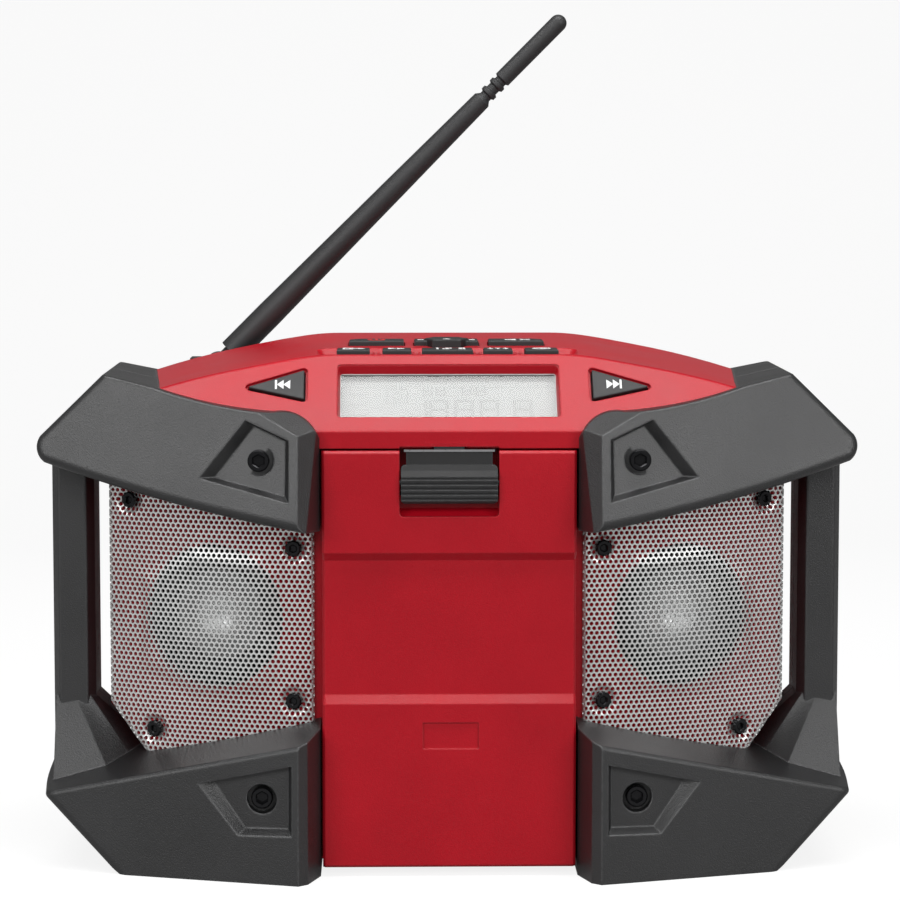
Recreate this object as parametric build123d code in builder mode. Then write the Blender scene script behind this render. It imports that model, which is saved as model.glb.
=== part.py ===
from build123d import *
from math import asin, atan2, cos, degrees, radians, sin, sqrt
import os

# Jobsite radio. X runs right, Y back and Z up, in millimetres.
# The origin is the middle of the footprint, and the radio faces -Y.

os.makedirs("parts", exist_ok=True)

# Whole radio
GUARD_DEPTH = 62.0          # the guards reach this far in front of and behind the middle
HALF_WIDTH = 115.6          # housing, without the side bars
BASE_Z = 3.0                # underside of the housing and the door
FACE_Y = -48.0              # front of the door and of the brow above it
SHELF_Y = -35.0             # housing wall behind the door
SPLIT_Y = 28.0              # the two housing halves meet here
BACK_Y = 46.0
WALL = 2.6
GAP = 0.4                   # running clearance round buttons and other moving pieces

# Brow, display face and top
BROW_Z = 143.5
FACE_FOOT = (-45.5, 150.5)  # (y, z) lower edge of the slanted display face
FACE_HEAD = (-24.0, 173.2)  # (y, z) upper edge of the slanted display face
BROW_CORNER = (-48.0, 147.86)  # (y, z) where brow and display face would meet
BROW_RADIUS = 7.0
TOP_Y, TOP_Z = 42.0, 176.5  # highest line of the top
TOP_TILT = 2.86             # degrees by which the top falls towards the front
FACE_TILT = degrees(atan2(FACE_HEAD[1] - FACE_FOOT[1], FACE_HEAD[0] - FACE_FOOT[0]))

# Speaker fronts, given for the left side: a wide upright curve that falls back towards the side
CURVE_X, CURVE_Y, CURVE_RADIUS = -16.4, 168.3, 205.3
SPEAKER_X, SPEAKER_Z = -79.5, 84.7
CONE_HOLE_RADIUS = 24.5
SEAT_DEPTH = 5.2            # from the curve to the loudspeaker's flat seat, on its axis
GRILLE_RISE = 2.0           # front of the grille in front of the curve
GRILLE_SHEET = 1.0
GRILLE_SCREWS = [(-107.5, 123.4), (-51.7, 108.9), (-51.8, 57.2), (-99.3, 45.2)]

# Guards, given for the left front corner
GUARD_WALL = 3.0
PARTING_GAP = 0.15          # half of the line left between front and rear guards
GUARD_INNER_X = -42.9
BAR_OUTER_X, BAR_INNER_X, BAR_HALF_DEPTH = -135.4, -121.1, 14.0
UPPER_SCREW = (-62.8, 140.1)
LOWER_SCREW = (-62.2, 27.9)
SCREW_WELL_RADIUS = 5.0
RECEDE = 0.29               # the guard fronts fall back this much per mm outwards
LEAN = 0.20                 # and the upper ones this much per mm upwards

# Door
BESIDE_DOOR_X = 45.0
DOOR_HALF_WIDTH, DOOR_TOP_Z, DOOR_BACK_Y = 42.2, 142.8, -36.2
HINGE_Y, HINGE_Z, HINGE_RADIUS = -43.5, 6.5, 1.5
LATCH_Y, LATCH_Z, LATCH_PIN_RADIUS = -46.0, 132.0, 1.0
NOTCH_HALF_WIDTH, NOTCH_LOW_Z, HOLLOW_BACK_Y = 16.5, 121.0, -42.6

# Compartment behind the door
TRAY_HALF_WIDTH, TRAY_BOTTOM_Z, TRAY_TOP_Z, TRAY_BACK_Y = 33.0, 20.0, 108.0, -19.0
AUX_JACK = (22.0, 92.0)     # (x, z)
AUX_BORE_RADIUS, AUX_BORE_LENGTH = 1.8, 14.0
DC_JACK = (36.0, 86.0)      # (x, z)

# Battery
BAY_HALF_WIDTH, BAY_BOTTOM_Z, BAY_TOP_Z, BAY_FRONT_Y = 23.0, 14.0, 64.0, -15.0

# Antenna
PIVOT = (-81.5, 53.0, 164.6)
WHIP_TIP = (43.5, 53.0, 290.0)
WHIP_LENGTH = ((WHIP_TIP[0] - PIVOT[0]) ** 2 + (WHIP_TIP[2] - PIVOT[2]) ** 2) ** 0.5

# Buttons: name, lowest and highest x
FRONT_ROW = [
    ("source_button", -37.6, -26.4),
    ("scan_button", -22.1, -12.3),
    ("preset_button", -8.6, 8.6),
    ("tone_button", 12.3, 22.1),
    ("clock_button", 26.4, 37.6),
]
FRONT_ROW_Y, FRONT_ROW_TOP = (-20.5, -9.5), 174.6
BACK_ROW_Y, BACK_ROW_TOP = (2.0, 14.0), 176.3
DECK_FRONT_Z = 171.5        # floor of the front row; the back row stands on the top itself
DECK_STEP_Y = -5.5          # behind this the thickening under the top is higher
DECK_UNDERSIDE_Z = 168.6
BUTTON_FLANGE = 1.2
ROCKER_Z = 170.0
ROCKER_LUG = [(-4.9, -3.0), (4.9, -3.0), (7.6, 4.5), (4.6, 12.6), (-4.6, 12.6), (-7.6, 4.5)]

face_plane = Plane(
    origin=(0, FACE_FOOT[0], FACE_FOOT[1]),
    x_dir=(1, 0, 0),
    z_dir=(0, -sin(radians(FACE_TILT)), cos(radians(FACE_TILT))),
)


def save(part, label):
    """Name a finished piece and write it to its own file."""
    part.label = label
    export_step(part, f"parts/{label}.step")


def block(low, high):
    """Plain block between two corners, for cutting and for small lumps."""
    with BuildPart() as piece:
        with Locations(tuple((a + b) / 2 for a, b in zip(low, high))):
            Box(*[b - a for a, b in zip(low, high)])
    return piece.part


def mirrored(part):
    """The same piece on the right side."""
    with BuildPart() as piece:
        mirror(part, about=Plane.YZ)
    return piece.part


def rod(radius, low_y, high_y):
    """Round bar along Y, centred on the Y axis."""
    with BuildPart() as bar:
        with BuildSketch(Plane.XZ.offset(-high_y)):
            Circle(radius)
        extrude(amount=high_y - low_y)
    return bar.part


def curve_column(radius):
    """Upright cylinder round the centre line of the left speaker front."""
    with BuildPart() as upright:
        with BuildSketch(Plane.XY.offset(-10)):
            with Locations((CURVE_X, CURVE_Y)):
                Circle(radius)
        extrude(amount=200)
    return upright.part


def curve_y(x):
    """How far back the left speaker front lies at x."""
    return CURVE_Y - sqrt(CURVE_RADIUS**2 - (x - CURVE_X) ** 2)


def square_to_curve(x, z, outwards=0.0):
    """Place on the left speaker front at (x, z), or in front of it, turned square to the curve."""
    turn = asin((CURVE_X - x) / CURVE_RADIUS)
    radius = CURVE_RADIUS + outwards
    return Location((CURVE_X - radius * sin(turn), CURVE_Y - radius * cos(turn), z), (0, 0, -degrees(turn)))


def facing_back(part):
    """The same piece turned to face backwards."""
    with BuildPart() as piece:
        mirror(part, about=Plane.XZ)
    return piece.part


def socket_screw(head_radius, head_height, shank_radius, length):
    """Socket screw along +Y, with its head standing on the plane y = 0."""
    with BuildPart() as screw:
        with BuildSketch(Plane.XZ):
            Circle(head_radius)
        extrude(amount=head_height)
        chamfer(screw.edges().group_by(Axis.Y)[0], head_height * 0.15)
        with BuildSketch(Plane.XZ.offset(head_height)):
            RegularPolygon(head_radius * 0.5, 6)
        extrude(amount=-head_height * 0.65, mode=Mode.SUBTRACT)
        with BuildSketch(Plane.XZ):
            Circle(shank_radius)
        extrude(amount=-length)
    return screw.part


# --------------------------------------------------------------------------
# Housing


def before_curve(inset):
    """What lies in front of the left speaker front, up to the foot of the display face."""
    with BuildPart() as trim:
        add(block((-150, FACE_Y - 40, BASE_Z - 1), (inset - BESIDE_DOOR_X, 40, FACE_FOOT[1] + inset)))
        add(curve_column(CURVE_RADIUS - inset), mode=Mode.SUBTRACT)
    return trim.part


def housing_block(inset=0.0):
    """Outer shape of the whole housing, drawn in by inset on every side."""
    with BuildPart() as body:
        with BuildSketch(Plane.XZ):
            with BuildLine():
                Polyline(
                    (-HALF_WIDTH, 190), (-HALF_WIDTH, 52.6), (-99, 32), (-88, BASE_Z),
                    (88, BASE_Z), (99, 32), (HALF_WIDTH, 52.6), (HALF_WIDTH, 190), close=True,
                )
            make_face()
            if inset:
                offset(amount=-inset, kind=Kind.INTERSECTION)
        extrude(amount=GUARD_DEPTH, both=True)
        with BuildSketch(Plane.YZ):
            with BuildLine():
                Polyline(
                    (SHELF_Y, BASE_Z), (SHELF_Y, BROW_Z), (FACE_Y, BROW_Z), BROW_CORNER, FACE_HEAD,
                    (FACE_HEAD[0] + 20, FACE_HEAD[1] + 21), (BACK_Y, FACE_HEAD[1] + 21), (BACK_Y, BASE_Z),
                    close=True,
                )
            make_face()
            fillet(vertices().sort_by_distance(BROW_CORNER)[0], BROW_RADIUS)
            if inset:
                offset(amount=-inset, kind=Kind.INTERSECTION)
        extrude(amount=HALF_WIDTH, both=True, mode=Mode.INTERSECT)
        tilted = Plane(
            origin=(0, TOP_Y, TOP_Z - inset), x_dir=(1, 0, 0),
            z_dir=(0, -cos(radians(TOP_TILT)), -sin(radians(TOP_TILT))),
        )
        with BuildSketch(tilted):
            with BuildLine():
                Line((-38, 0), (38, 0))
                Spline((38, 0), (58, -2.2), (75.5, -5.2), (102.6, -11.8), tangents=[(1, 0), (1, -0.3)])
                Polyline(
                    (102.6, -11.8), (112.8, -20), (130, -190), (-130, -190), (-112.8, -20), (-102.6, -11.8),
                )
                Spline((-102.6, -11.8), (-75.5, -5.2), (-58, -2.2), (-38, 0), tangents=[(1, 0.3), (1, 0)])
            make_face()
        extrude(amount=90, both=True, mode=Mode.INTERSECT)
        # beside the door the wall is the curve of the speaker fronts
        add(before_curve(inset), mode=Mode.SUBTRACT)
        add(mirrored(before_curve(inset)), mode=Mode.SUBTRACT)
        # the corners fall back under the guards
        for side in (-1, 1):
            for end in (-1, 1):
                for height, lean in ((118, LEAN), (0, 0)):
                    corner = (side * 48, end * GUARD_DEPTH, height)
                    guard_face = Plane(origin=corner, z_dir=(-side * RECEDE, -end, -lean))
                    split(bisect_by=guard_face.offset(GUARD_WALL + 0.2 + inset), keep=Keep.TOP)
    return body.part


def deck_recess(low, high, floor_z, rise):
    """Dished cut in the top: low and high are the floor's corners, rise its walls' height."""
    with BuildPart() as cut:
        with BuildSketch(Plane.XY.offset(floor_z)):
            with Locations(((low[0] + high[0]) / 2, (low[1] + high[1]) / 2)):
                RectangleRounded(high[0] - low[0], high[1] - low[1], 2)
        extrude(amount=rise, taper=-38)
    return cut.part


def rocker_lug(outwards, low_z, high_z):
    """Six-sided middle of the volume rocker, which stands out in front of its long bar."""
    with BuildPart() as lug:
        with BuildSketch(Plane.XY.offset(low_z)):
            with BuildLine():
                Polyline(*ROCKER_LUG, close=True)
            make_face()
            if outwards:
                offset(amount=outwards, kind=Kind.INTERSECTION)
        extrude(amount=high_z - low_z)
    return lug.part


solid_housing = housing_block()
cavity = housing_block(WALL)

seek_outline = [(-71.1, 16.9), (-47.1, 26.0), (-47.1, 10.4)]   # on the display face, left side
SEEK_ROUNDING = 1.5


def seek_prism(shrink, low, high):
    """Triangle of a seek button between two depths along the display face's normal."""
    with BuildPart() as prism:
        with BuildSketch(face_plane.offset(low)):
            with BuildLine():
                Polyline(*seek_outline, close=True)
            make_face()
            if shrink:
                offset(amount=-shrink, kind=Kind.INTERSECTION)
            fillet(vertices(), SEEK_ROUNDING - shrink)
        extrude(amount=high - low)
    return prism.part


def face_rectangle(half_width, bottom, top, low, high):
    """Block on the display face between two depths along its normal."""
    with BuildPart() as piece:
        with BuildSketch(face_plane.offset(low)):
            with Locations((0, (bottom + top) / 2)):
                RectangleRounded(2 * half_width, top - bottom, 1.2)
        extrude(amount=high - low)
    return piece.part


def pivot_bar(low_y, high_y, radius):
    """Round bar along Y on the volume rocker's axis."""
    with BuildPart() as bar:
        with BuildSketch(Plane.XZ.offset(-low_y)):
            with Locations((0, ROCKER_Z)):
                Circle(radius)
        extrude(amount=low_y - high_y)
    return bar.part


LENS_DEPTH = 3.2
LENS_THICKNESS = 1.6
MODULE_THICKNESS = 4.0
WINDOW_HALF_WIDTH, WINDOW_BOTTOM, WINDOW_TOP = 37.2, 4.3, 26.9

SEAT_RADIUS = 31.5

button_plan = []        # (name, x low, x high, y low, y high, top)
for name, low_x, high_x in FRONT_ROW:
    button_plan.append((name, low_x, high_x, *FRONT_ROW_Y, FRONT_ROW_TOP))
button_plan.append(("power_button", -33.7, -14.7, *BACK_ROW_Y, BACK_ROW_TOP))
button_plan.append(("mute_button", 14.7, 33.7, *BACK_ROW_Y, BACK_ROW_TOP))
rocker_plan = ("volume_rocker", -11.1, 11.1, *BACK_ROW_Y, BACK_ROW_TOP)

housing_screw_places = [(-98, 119), (98, 119), (-95, 50), (95, 50)]
guard_places = [(side * x, z) for side in (-1, 1) for x, z in (UPPER_SCREW, LOWER_SCREW)]
guard_screw_y = curve_y(UPPER_SCREW[0])     # housing front under the guard screws
speaker_screw_places = []
for turn in (45, 135, 225, 315):
    speaker_screw_places.append((29 * cos(radians(turn)), 29 * sin(radians(turn))))


def left_bosses():
    """Lumps inside the front wall on the left: the loudspeaker's seat and the screw bosses."""
    with BuildPart() as bosses:
        with Locations(square_to_curve(SPEAKER_X, SPEAKER_Z)):
            add(rod(SEAT_RADIUS, -10, SEAT_DEPTH))
        with Locations(*[square_to_curve(x, z) for x, z in GRILLE_SCREWS]):
            add(rod(2.6, -3, 6.5))
        with Locations(*[(x, 0, z) for x, z in (UPPER_SCREW, LOWER_SCREW)]):
            add(rod(4, FACE_Y, guard_screw_y + 12))
        with Locations(*[(x, 0, z) for x, z in housing_screw_places if x < 0]):
            add(rod(4, FACE_Y, SPLIT_Y))
        add(solid_housing, mode=Mode.INTERSECT)
    return bosses.part


def left_bores():
    """Holes in the front wall on the left: the sound opening and the screw holes."""
    with BuildPart() as bores:
        with Locations(square_to_curve(SPEAKER_X, SPEAKER_Z)):
            add(rod(CONE_HOLE_RADIUS, -10, SEAT_DEPTH + 1))
            with Locations(*[(x, 0, z) for x, z in speaker_screw_places]):
                add(rod(1.15, SEAT_DEPTH - 2.8, SEAT_DEPTH + 1))
        with Locations(*[square_to_curve(x, z) for x, z in GRILLE_SCREWS]):
            add(rod(1.25, -3, 5))
        with Locations(*[(x, 0, z) for x, z in (UPPER_SCREW, LOWER_SCREW)]):
            add(rod(2.05, FACE_Y, guard_screw_y + 11))
        with Locations(*[(x, 0, z) for x, z in housing_screw_places if x < 0]):
            add(rod(1.55, SPLIT_Y - 24, SPLIT_Y + 1))
    return bores.part


with BuildPart() as housing_shell:
    add(solid_housing)
    top_edges = housing_shell.edges().filter_by_position(Axis.Z, 164, 180)
    fillet(top_edges.filter_by_position(Axis.Y, -34, -20) + top_edges.group_by(Axis.Y)[-1], 1.6)
    add(cavity, mode=Mode.SUBTRACT)

with BuildPart() as front_housing:
    add(housing_shell.part)
    add(block((-130, SPLIT_Y, -10), (130, 80, 200)), mode=Mode.SUBTRACT)
    # inner frame that carries the display lens
    frame_back = -LENS_DEPTH - 2.4
    add(face_rectangle(WINDOW_HALF_WIDTH + 4, WINDOW_BOTTOM - 2.4, WINDOW_TOP + 2.2, frame_back, 0.2 - WALL))
    add(face_rectangle(WINDOW_HALF_WIDTH, WINDOW_BOTTOM, WINDOW_TOP, -9, 1), mode=Mode.SUBTRACT)
    add(
        face_rectangle(WINDOW_HALF_WIDTH + 1.4, WINDOW_BOTTOM - 1.0, WINDOW_TOP + 1.0, -9, -LENS_DEPTH),
        mode=Mode.SUBTRACT,
    )
    # button deck: thicken from below, dish out the front row's part, and leave pairs of ribs between buttons
    add(block((-46, -23, DECK_UNDERSIDE_Z), (46, DECK_STEP_Y, DECK_FRONT_Z + 1)))
    add(block((-46, DECK_STEP_Y, DECK_UNDERSIDE_Z), (46, 20, DECK_FRONT_Z + 1.9)))
    add(deck_recess((-43, -22.4), (43, -7.5), DECK_FRONT_Z, 9), mode=Mode.SUBTRACT)
    for left, right in zip(FRONT_ROW, FRONT_ROW[1:]):
        rib_x = (left[2] + right[1]) / 2
        for side in (-1, 1):
            low_rib = (rib_x + side * 0.9 - 0.45, FRONT_ROW_Y[0] + 1, DECK_FRONT_Z - 0.5)
            add(block(low_rib, (rib_x + side * 0.9 + 0.45, FRONT_ROW_Y[1] + 2.5, DECK_FRONT_Z + 1.3)))
    for _, low_x, high_x, low_y, high_y, _ in button_plan + [rocker_plan]:
        hole = block((low_x - GAP, low_y - GAP, 160), (high_x + GAP, high_y + GAP, 180))
        add(hole, mode=Mode.SUBTRACT)
    add(rocker_lug(GAP, 160, 180), mode=Mode.SUBTRACT)
    add(pivot_bar(ROCKER_LUG[0][1] - 2, BACK_ROW_Y[1] + 2, 1.1), mode=Mode.SUBTRACT)
    # sunken triangles for the seek buttons
    for prism in (seek_prism(0, -1.2, 3), seek_prism(1.1 - GAP, -9, 0)):
        add(prism, mode=Mode.SUBTRACT)
        add(mirrored(prism), mode=Mode.SUBTRACT)
    # shallow panel and hook pocket over the latch
    latch_panel = block((-NOTCH_HALF_WIDTH, FACE_Y - 2, BROW_Z - 1), (NOTCH_HALF_WIDTH, FACE_Y + 0.7, 151))
    add(latch_panel, mode=Mode.SUBTRACT)
    add(block((-8, LATCH_Y - 0.6, BROW_Z + 1.5), (8, SHELF_Y - 0.5, BROW_Z + 3.5)))
    under_panel = ((-NOTCH_HALF_WIDTH, FACE_Y - 2, BROW_Z - 1), (NOTCH_HALF_WIDTH, FACE_Y + 3, BROW_Z + 0.6))
    add(block(*under_panel), mode=Mode.SUBTRACT)
    add(block((-5.8, LATCH_Y - 0.3, BROW_Z - 3), (5.8, SHELF_Y - 0.6, BROW_Z + 2.4)), mode=Mode.SUBTRACT)
    # compartment opening
    add(
        block((-TRAY_HALF_WIDTH, SHELF_Y - 1, TRAY_BOTTOM_Z), (TRAY_HALF_WIDTH, SHELF_Y + 9, TRAY_TOP_Z)),
        mode=Mode.SUBTRACT,
    )
    # loudspeaker seats, sound openings and screw bosses
    for lumps in (left_bosses(), mirrored(left_bosses())):
        add(lumps)
    for holes in (left_bores(), mirrored(left_bores())):
        add(holes, mode=Mode.SUBTRACT)
    # lugs that carry the door's hinge pin
    for side in (-1, 1):
        with BuildSketch(Plane.YZ.offset(side * 24 - 4)):
            with Locations((HINGE_Y, HINGE_Z)):
                Circle(3.0)
            with BuildLine():
                Polyline(
                    (HINGE_Y, HINGE_Z - 3), (SHELF_Y + 0.1, HINGE_Z - 3), (SHELF_Y + 0.1, HINGE_Z + 3),
                    (HINGE_Y, HINGE_Z + 3), close=True,
                )
            make_face()
            with Locations((HINGE_Y, HINGE_Z)):
                Circle(HINGE_RADIUS + 0.06, mode=Mode.SUBTRACT)
        extrude(amount=8)
save(front_housing.part, "front_housing")

with BuildPart() as rear_housing:
    add(housing_shell.part)
    add(block((-130, -80, -10), (130, SPLIT_Y, 200)), mode=Mode.SUBTRACT)
    add(
        block((-BAY_HALF_WIDTH, BACK_Y - 9, BAY_BOTTOM_Z), (BAY_HALF_WIDTH, BACK_Y + 1, BAY_TOP_Z)),
        mode=Mode.SUBTRACT,
    )
    with BuildSketch(Plane.XZ.offset(-SPLIT_Y)):
        with Locations(*housing_screw_places):
            Circle(5)
    extrude(amount=SPLIT_Y - BACK_Y + 1)
    add(solid_housing, mode=Mode.INTERSECT)
    with BuildSketch(Plane.XZ.offset(-SPLIT_Y + 1)):
        with Locations(*housing_screw_places):
            Circle(1.8)
    extrude(amount=-30, mode=Mode.SUBTRACT)
    with BuildSketch(Plane.XZ.offset(-SPLIT_Y - 5)):
        with Locations(*housing_screw_places):
            Circle(3.4)
    extrude(amount=-30, mode=Mode.SUBTRACT)
    with BuildSketch(Plane.XZ.offset(-BACK_Y + WALL / 2)):
        with Locations(*guard_places):
            Circle(4)
    extrude(amount=12)
    with BuildSketch(Plane.XZ.offset(-BACK_Y)):
        with Locations(*guard_places):
            Circle(2.05)
    extrude(amount=11, mode=Mode.SUBTRACT)
    with BuildSketch(Plane.XZ.offset(-BACK_Y + 5)):
        with Locations(DC_JACK):
            Circle(4.6)
    extrude(amount=-10, mode=Mode.SUBTRACT)
save(rear_housing.part, "rear_housing")

housing_screw = facing_back(socket_screw(2.9, 2.6, 1.5, 22))
with BuildPart() as housing_screws:
    with Locations(*[(x, SPLIT_Y + 5, z) for x, z in housing_screw_places]):
        add(housing_screw)
save(housing_screws.part, "housing_screws")


# --------------------------------------------------------------------------
# Display, buttons and boards

with BuildPart() as display_lens:
    add(
        face_rectangle(
            WINDOW_HALF_WIDTH + 1.2, WINDOW_BOTTOM - 0.8, WINDOW_TOP + 0.8,
            -LENS_DEPTH - LENS_THICKNESS, -LENS_DEPTH,
        )
    )
save(display_lens.part, "display_lens")

with BuildPart() as display_module:
    lens_back = -LENS_DEPTH - LENS_THICKNESS
    add(
        face_rectangle(
            WINDOW_HALF_WIDTH + 1.2, WINDOW_BOTTOM - 0.8, WINDOW_TOP + 0.8,
            lens_back - MODULE_THICKNESS, lens_back,
        )
    )
save(display_module.part, "display_module")

for name, low_x, high_x, low_y, high_y, top_z in button_plan:
    with BuildPart() as button:
        add(block((low_x, low_y, DECK_UNDERSIDE_Z - 0.3), (high_x, high_y, top_z)))
        if name in ("power_button", "mute_button"):
            outer = Axis.X if low_x > 0 else -Axis.X
            back_corner = button.edges().filter_by(Axis.Z).group_by(outer)[-1].sort_by(Axis.Y)[-1]
            chamfer(back_corner, 4)
        fillet(button.edges().group_by(Axis.Z)[-1], 0.6)
        flange_top = DECK_UNDERSIDE_Z - 0.3
        add(block((low_x - 1, low_y, flange_top - BUTTON_FLANGE), (high_x + 1, high_y, flange_top)))
    save(button.part, name)

with BuildPart() as volume_rocker:
    name, low_x, high_x, low_y, high_y, top_z = rocker_plan
    add(block((low_x, low_y, DECK_UNDERSIDE_Z - 1.4), (high_x, high_y, top_z)))
    fillet(volume_rocker.edges().group_by(Axis.Z)[-1], 0.6)
    add(rocker_lug(0, DECK_UNDERSIDE_Z - 1.4, top_z + 0.7))
    fillet(volume_rocker.edges().group_by(Axis.Z)[-1], 0.5)
    add(pivot_bar(ROCKER_LUG[0][1] - 1.6, high_y + 1.6, 1.0))
save(volume_rocker.part, rocker_plan[0])

seek_cap_depth = -WALL - 0.3
with BuildPart() as seek_back_button:
    add(seek_prism(1.1, seek_cap_depth, 0.3))
    outwards = Axis(origin=(0, 0, 0), direction=face_plane.z_dir)
    fillet(seek_back_button.faces().sort_by(outwards)[-1].edges(), 0.4)
    add(seek_prism(0.2, seek_cap_depth - BUTTON_FLANGE, seek_cap_depth))
save(seek_back_button.part, "seek_back_button")
save(mirrored(seek_back_button.part), "seek_forward_button")

KEYPAD_TOP_Z, KEYPAD_THICKNESS, BOARD_THICKNESS = 165.8, 1.6, 1.6
with BuildPart() as keypad:
    add(block((-42, -18.5, KEYPAD_TOP_Z - KEYPAD_THICKNESS), (42, 14, KEYPAD_TOP_Z)))
save(keypad.part, "keypad")

with BuildPart() as main_board:
    board_top = KEYPAD_TOP_Z - KEYPAD_THICKNESS
    add(block((-44, -18.5, board_top - BOARD_THICKNESS), (44, 24, board_top)))
    add(block((-24, -6, board_top - BOARD_THICKNESS - 2), (-8, 10, board_top - BOARD_THICKNESS)))
    add(block((8, 0, board_top - BOARD_THICKNESS - 6), (30, 12, board_top - BOARD_THICKNESS)))
save(main_board.part, "main_board")

with BuildPart() as power_board:
    add(block((34, 24, 22), (35.6, 42, 62)))
    add(block((35.6, 27, 28), (45, 39, 56)))
    with BuildSketch(Plane.YZ.offset(35.6)):
        with Locations((33, 25)):
            Circle(2.5)
    extrude(amount=12)
save(power_board.part, "power_board")

with BuildPart() as dc_jack:
    with BuildSketch(Plane.XZ.offset(-BACK_Y - 1)):
        with Locations(DC_JACK):
            Circle(6)
    extrude(amount=1)
    with BuildSketch(Plane.XZ.offset(-BACK_Y - 1)):
        with Locations(DC_JACK):
            Circle(4.5)
    extrude(amount=14)
    with BuildSketch(Plane.XZ.offset(-BACK_Y - 1)):
        with Locations(DC_JACK):
            Circle(2.8)
    extrude(amount=11, mode=Mode.SUBTRACT)
    with BuildSketch(Plane.XZ.offset(-BACK_Y)):
        with Locations(DC_JACK):
            Circle(1.05)
    extrude(amount=11)
save(dc_jack.part, "dc_jack")

# --------------------------------------------------------------------------
# Guards


def guard_volume(inset):
    """Left front guard with its half of the side bar, before it is fitted to the housing."""
    front = Plane(origin=(-48, -GUARD_DEPTH, 118), z_dir=(RECEDE, 1, -LEAN)).offset(inset)
    lower_front = Plane(origin=(-48, -GUARD_DEPTH, 0), z_dir=(RECEDE, 1, 0)).offset(inset)
    lower_slope = Plane(origin=(-50.2, -61.4, 46.4), z_dir=(0.267, 0.12, -1)).offset(inset)
    inner_bevel = Plane(origin=(-48, -GUARD_DEPTH, 0), z_dir=(-16, 5.5, 0)).offset(inset)
    upper_corner = Plane(origin=(-50, -61.4, 118), z_dir=(-0.642, 0.765, -0.153)).offset(inset)
    lower_corner = Plane(origin=(-50, -61.4, 0), z_dir=(-0.642, 0.765, 0)).offset(inset)
    top_facet = Plane(origin=(-50.1, -55.3, 148.4), z_dir=(-51.6, 113.1, -174.9)).offset(inset)
    with BuildPart() as upper:
        with BuildSketch(Plane.XZ.offset(-5)):
            with BuildLine():
                ThreePointArc((GUARD_INNER_X, 116.2), (-90.2, 125), (-135.4, 137.4))
                ThreePointArc((-135.4, 137.4), (-138.1, 141.5), (-136.9, 146.4))
                Polyline((-136.9, 146.4), (-115.5, 167.2), (-98, 163.2))
                ThreePointArc((-98, 163.2), (-76.4, 157.8), (-58, 155.6))
                ThreePointArc((-58, 155.6), (-47.4, 153), (GUARD_INNER_X, 147))
                Line((GUARD_INNER_X, 147), (GUARD_INNER_X, 116.2))
            make_face()
            if inset:
                offset(amount=-inset)
        extrude(amount=GUARD_DEPTH + 5)
        split(bisect_by=front, keep=Keep.TOP)
        split(bisect_by=inner_bevel, keep=Keep.TOP)
        if not inset:
            end_and_foot = [(-127, -33, 156), (-138.1, -28, 141.5), (-90, -48, 125)]
            fillet([upper.edges().sort_by_distance(spot)[0] for spot in end_and_foot], 3)
            fillet(upper.edges().sort_by_distance((-80, -45, 159))[0], 1.2)
        split(bisect_by=upper_corner, keep=Keep.TOP)
        split(bisect_by=top_facet, keep=Keep.TOP)
    with BuildPart() as lower:
        with BuildSketch(Plane.XZ.offset(-5)):
            with BuildLine():
                Polyline((GUARD_INNER_X, 0), (-110.5, 0), (-113.7, 2.2), (-135.9, 24.9))
                ThreePointArc((-135.9, 24.9), (-137, 28.5), (-136.4, 32))
                ThreePointArc((-136.4, 32), (-97.4, 40.8), (GUARD_INNER_X, 51.5))
                Line((GUARD_INNER_X, 51.5), (GUARD_INNER_X, 0))
            make_face()
            if inset:
                offset(amount=-inset)
        extrude(amount=GUARD_DEPTH + 5)
        split(bisect_by=lower_front, keep=Keep.TOP)
        split(bisect_by=lower_slope, keep=Keep.TOP)
        split(bisect_by=inner_bevel, keep=Keep.TOP)
        if not inset:
            fillet(lower.edges().sort_by_distance((-124, -40, 13))[0], 3.5)
            fillet(lower.edges().sort_by_distance((-80, -52, 37))[0], 1.6)
        split(bisect_by=lower_corner, keep=Keep.TOP)
    with BuildPart() as bar:
        with BuildSketch(Plane.XY.offset(27)):
            with BuildLine():
                Polyline(
                    (BAR_OUTER_X, -9), (-133.0, -BAR_HALF_DEPTH), (-123.5, -BAR_HALF_DEPTH),
                    (BAR_INNER_X, -9), (BAR_INNER_X, 9), (-123.5, BAR_HALF_DEPTH),
                    (-133.0, BAR_HALF_DEPTH), (BAR_OUTER_X, 9), close=True,
                )
            make_face()
            if inset:
                offset(amount=-inset)
        extrude(amount=112)
        if not inset:
            fillet(bar.edges().filter_by(Axis.Z), 0.8)
    with BuildPart() as flare:
        for height, front_edge in (
            (55.5, [(-134.4, -12.5), (-128, -13), (-123, -12.5), (-122.1, -8)]),
            (28, [(-134.4, -25), (-114, -27), (-104, -17), (-92.5, -6)]),
        ):
            with BuildSketch(Plane.XY.offset(height)):
                with BuildLine():
                    Polyline(*front_edge, (front_edge[-1][0], 12), (front_edge[0][0], 12), close=True)
                make_face()
        loft(ruled=True)
    with BuildPart() as cage:
        add(upper.part)
        add(lower.part)
        add(bar.part)
        if not inset:
            add(flare.part)
    return cage.part


def pocket_tool(plane, outer, floor, depth):
    """Sunken field of a guard: sloping walls between an outer outline and a smaller floor."""
    with BuildPart() as tool:
        for points, level in ((outer, plane), (floor, plane.offset(-depth))):
            local = [level.to_local_coords(Vector(*on_plane(level, x, z))) for x, z in points]
            with BuildSketch(level):
                with BuildLine():
                    Polyline(*[(point.X, point.Y) for point in local], close=True)
                make_face()
        loft(ruled=True)
    return tool.part


def on_plane(plane, x, z):
    """Where the line through (x, z) along Y meets a plane."""
    normal = plane.z_dir
    y = plane.origin.Y - (normal.X * (x - plane.origin.X) + normal.Z * (z - plane.origin.Z)) / normal.Y
    return (x, y, z)


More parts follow.
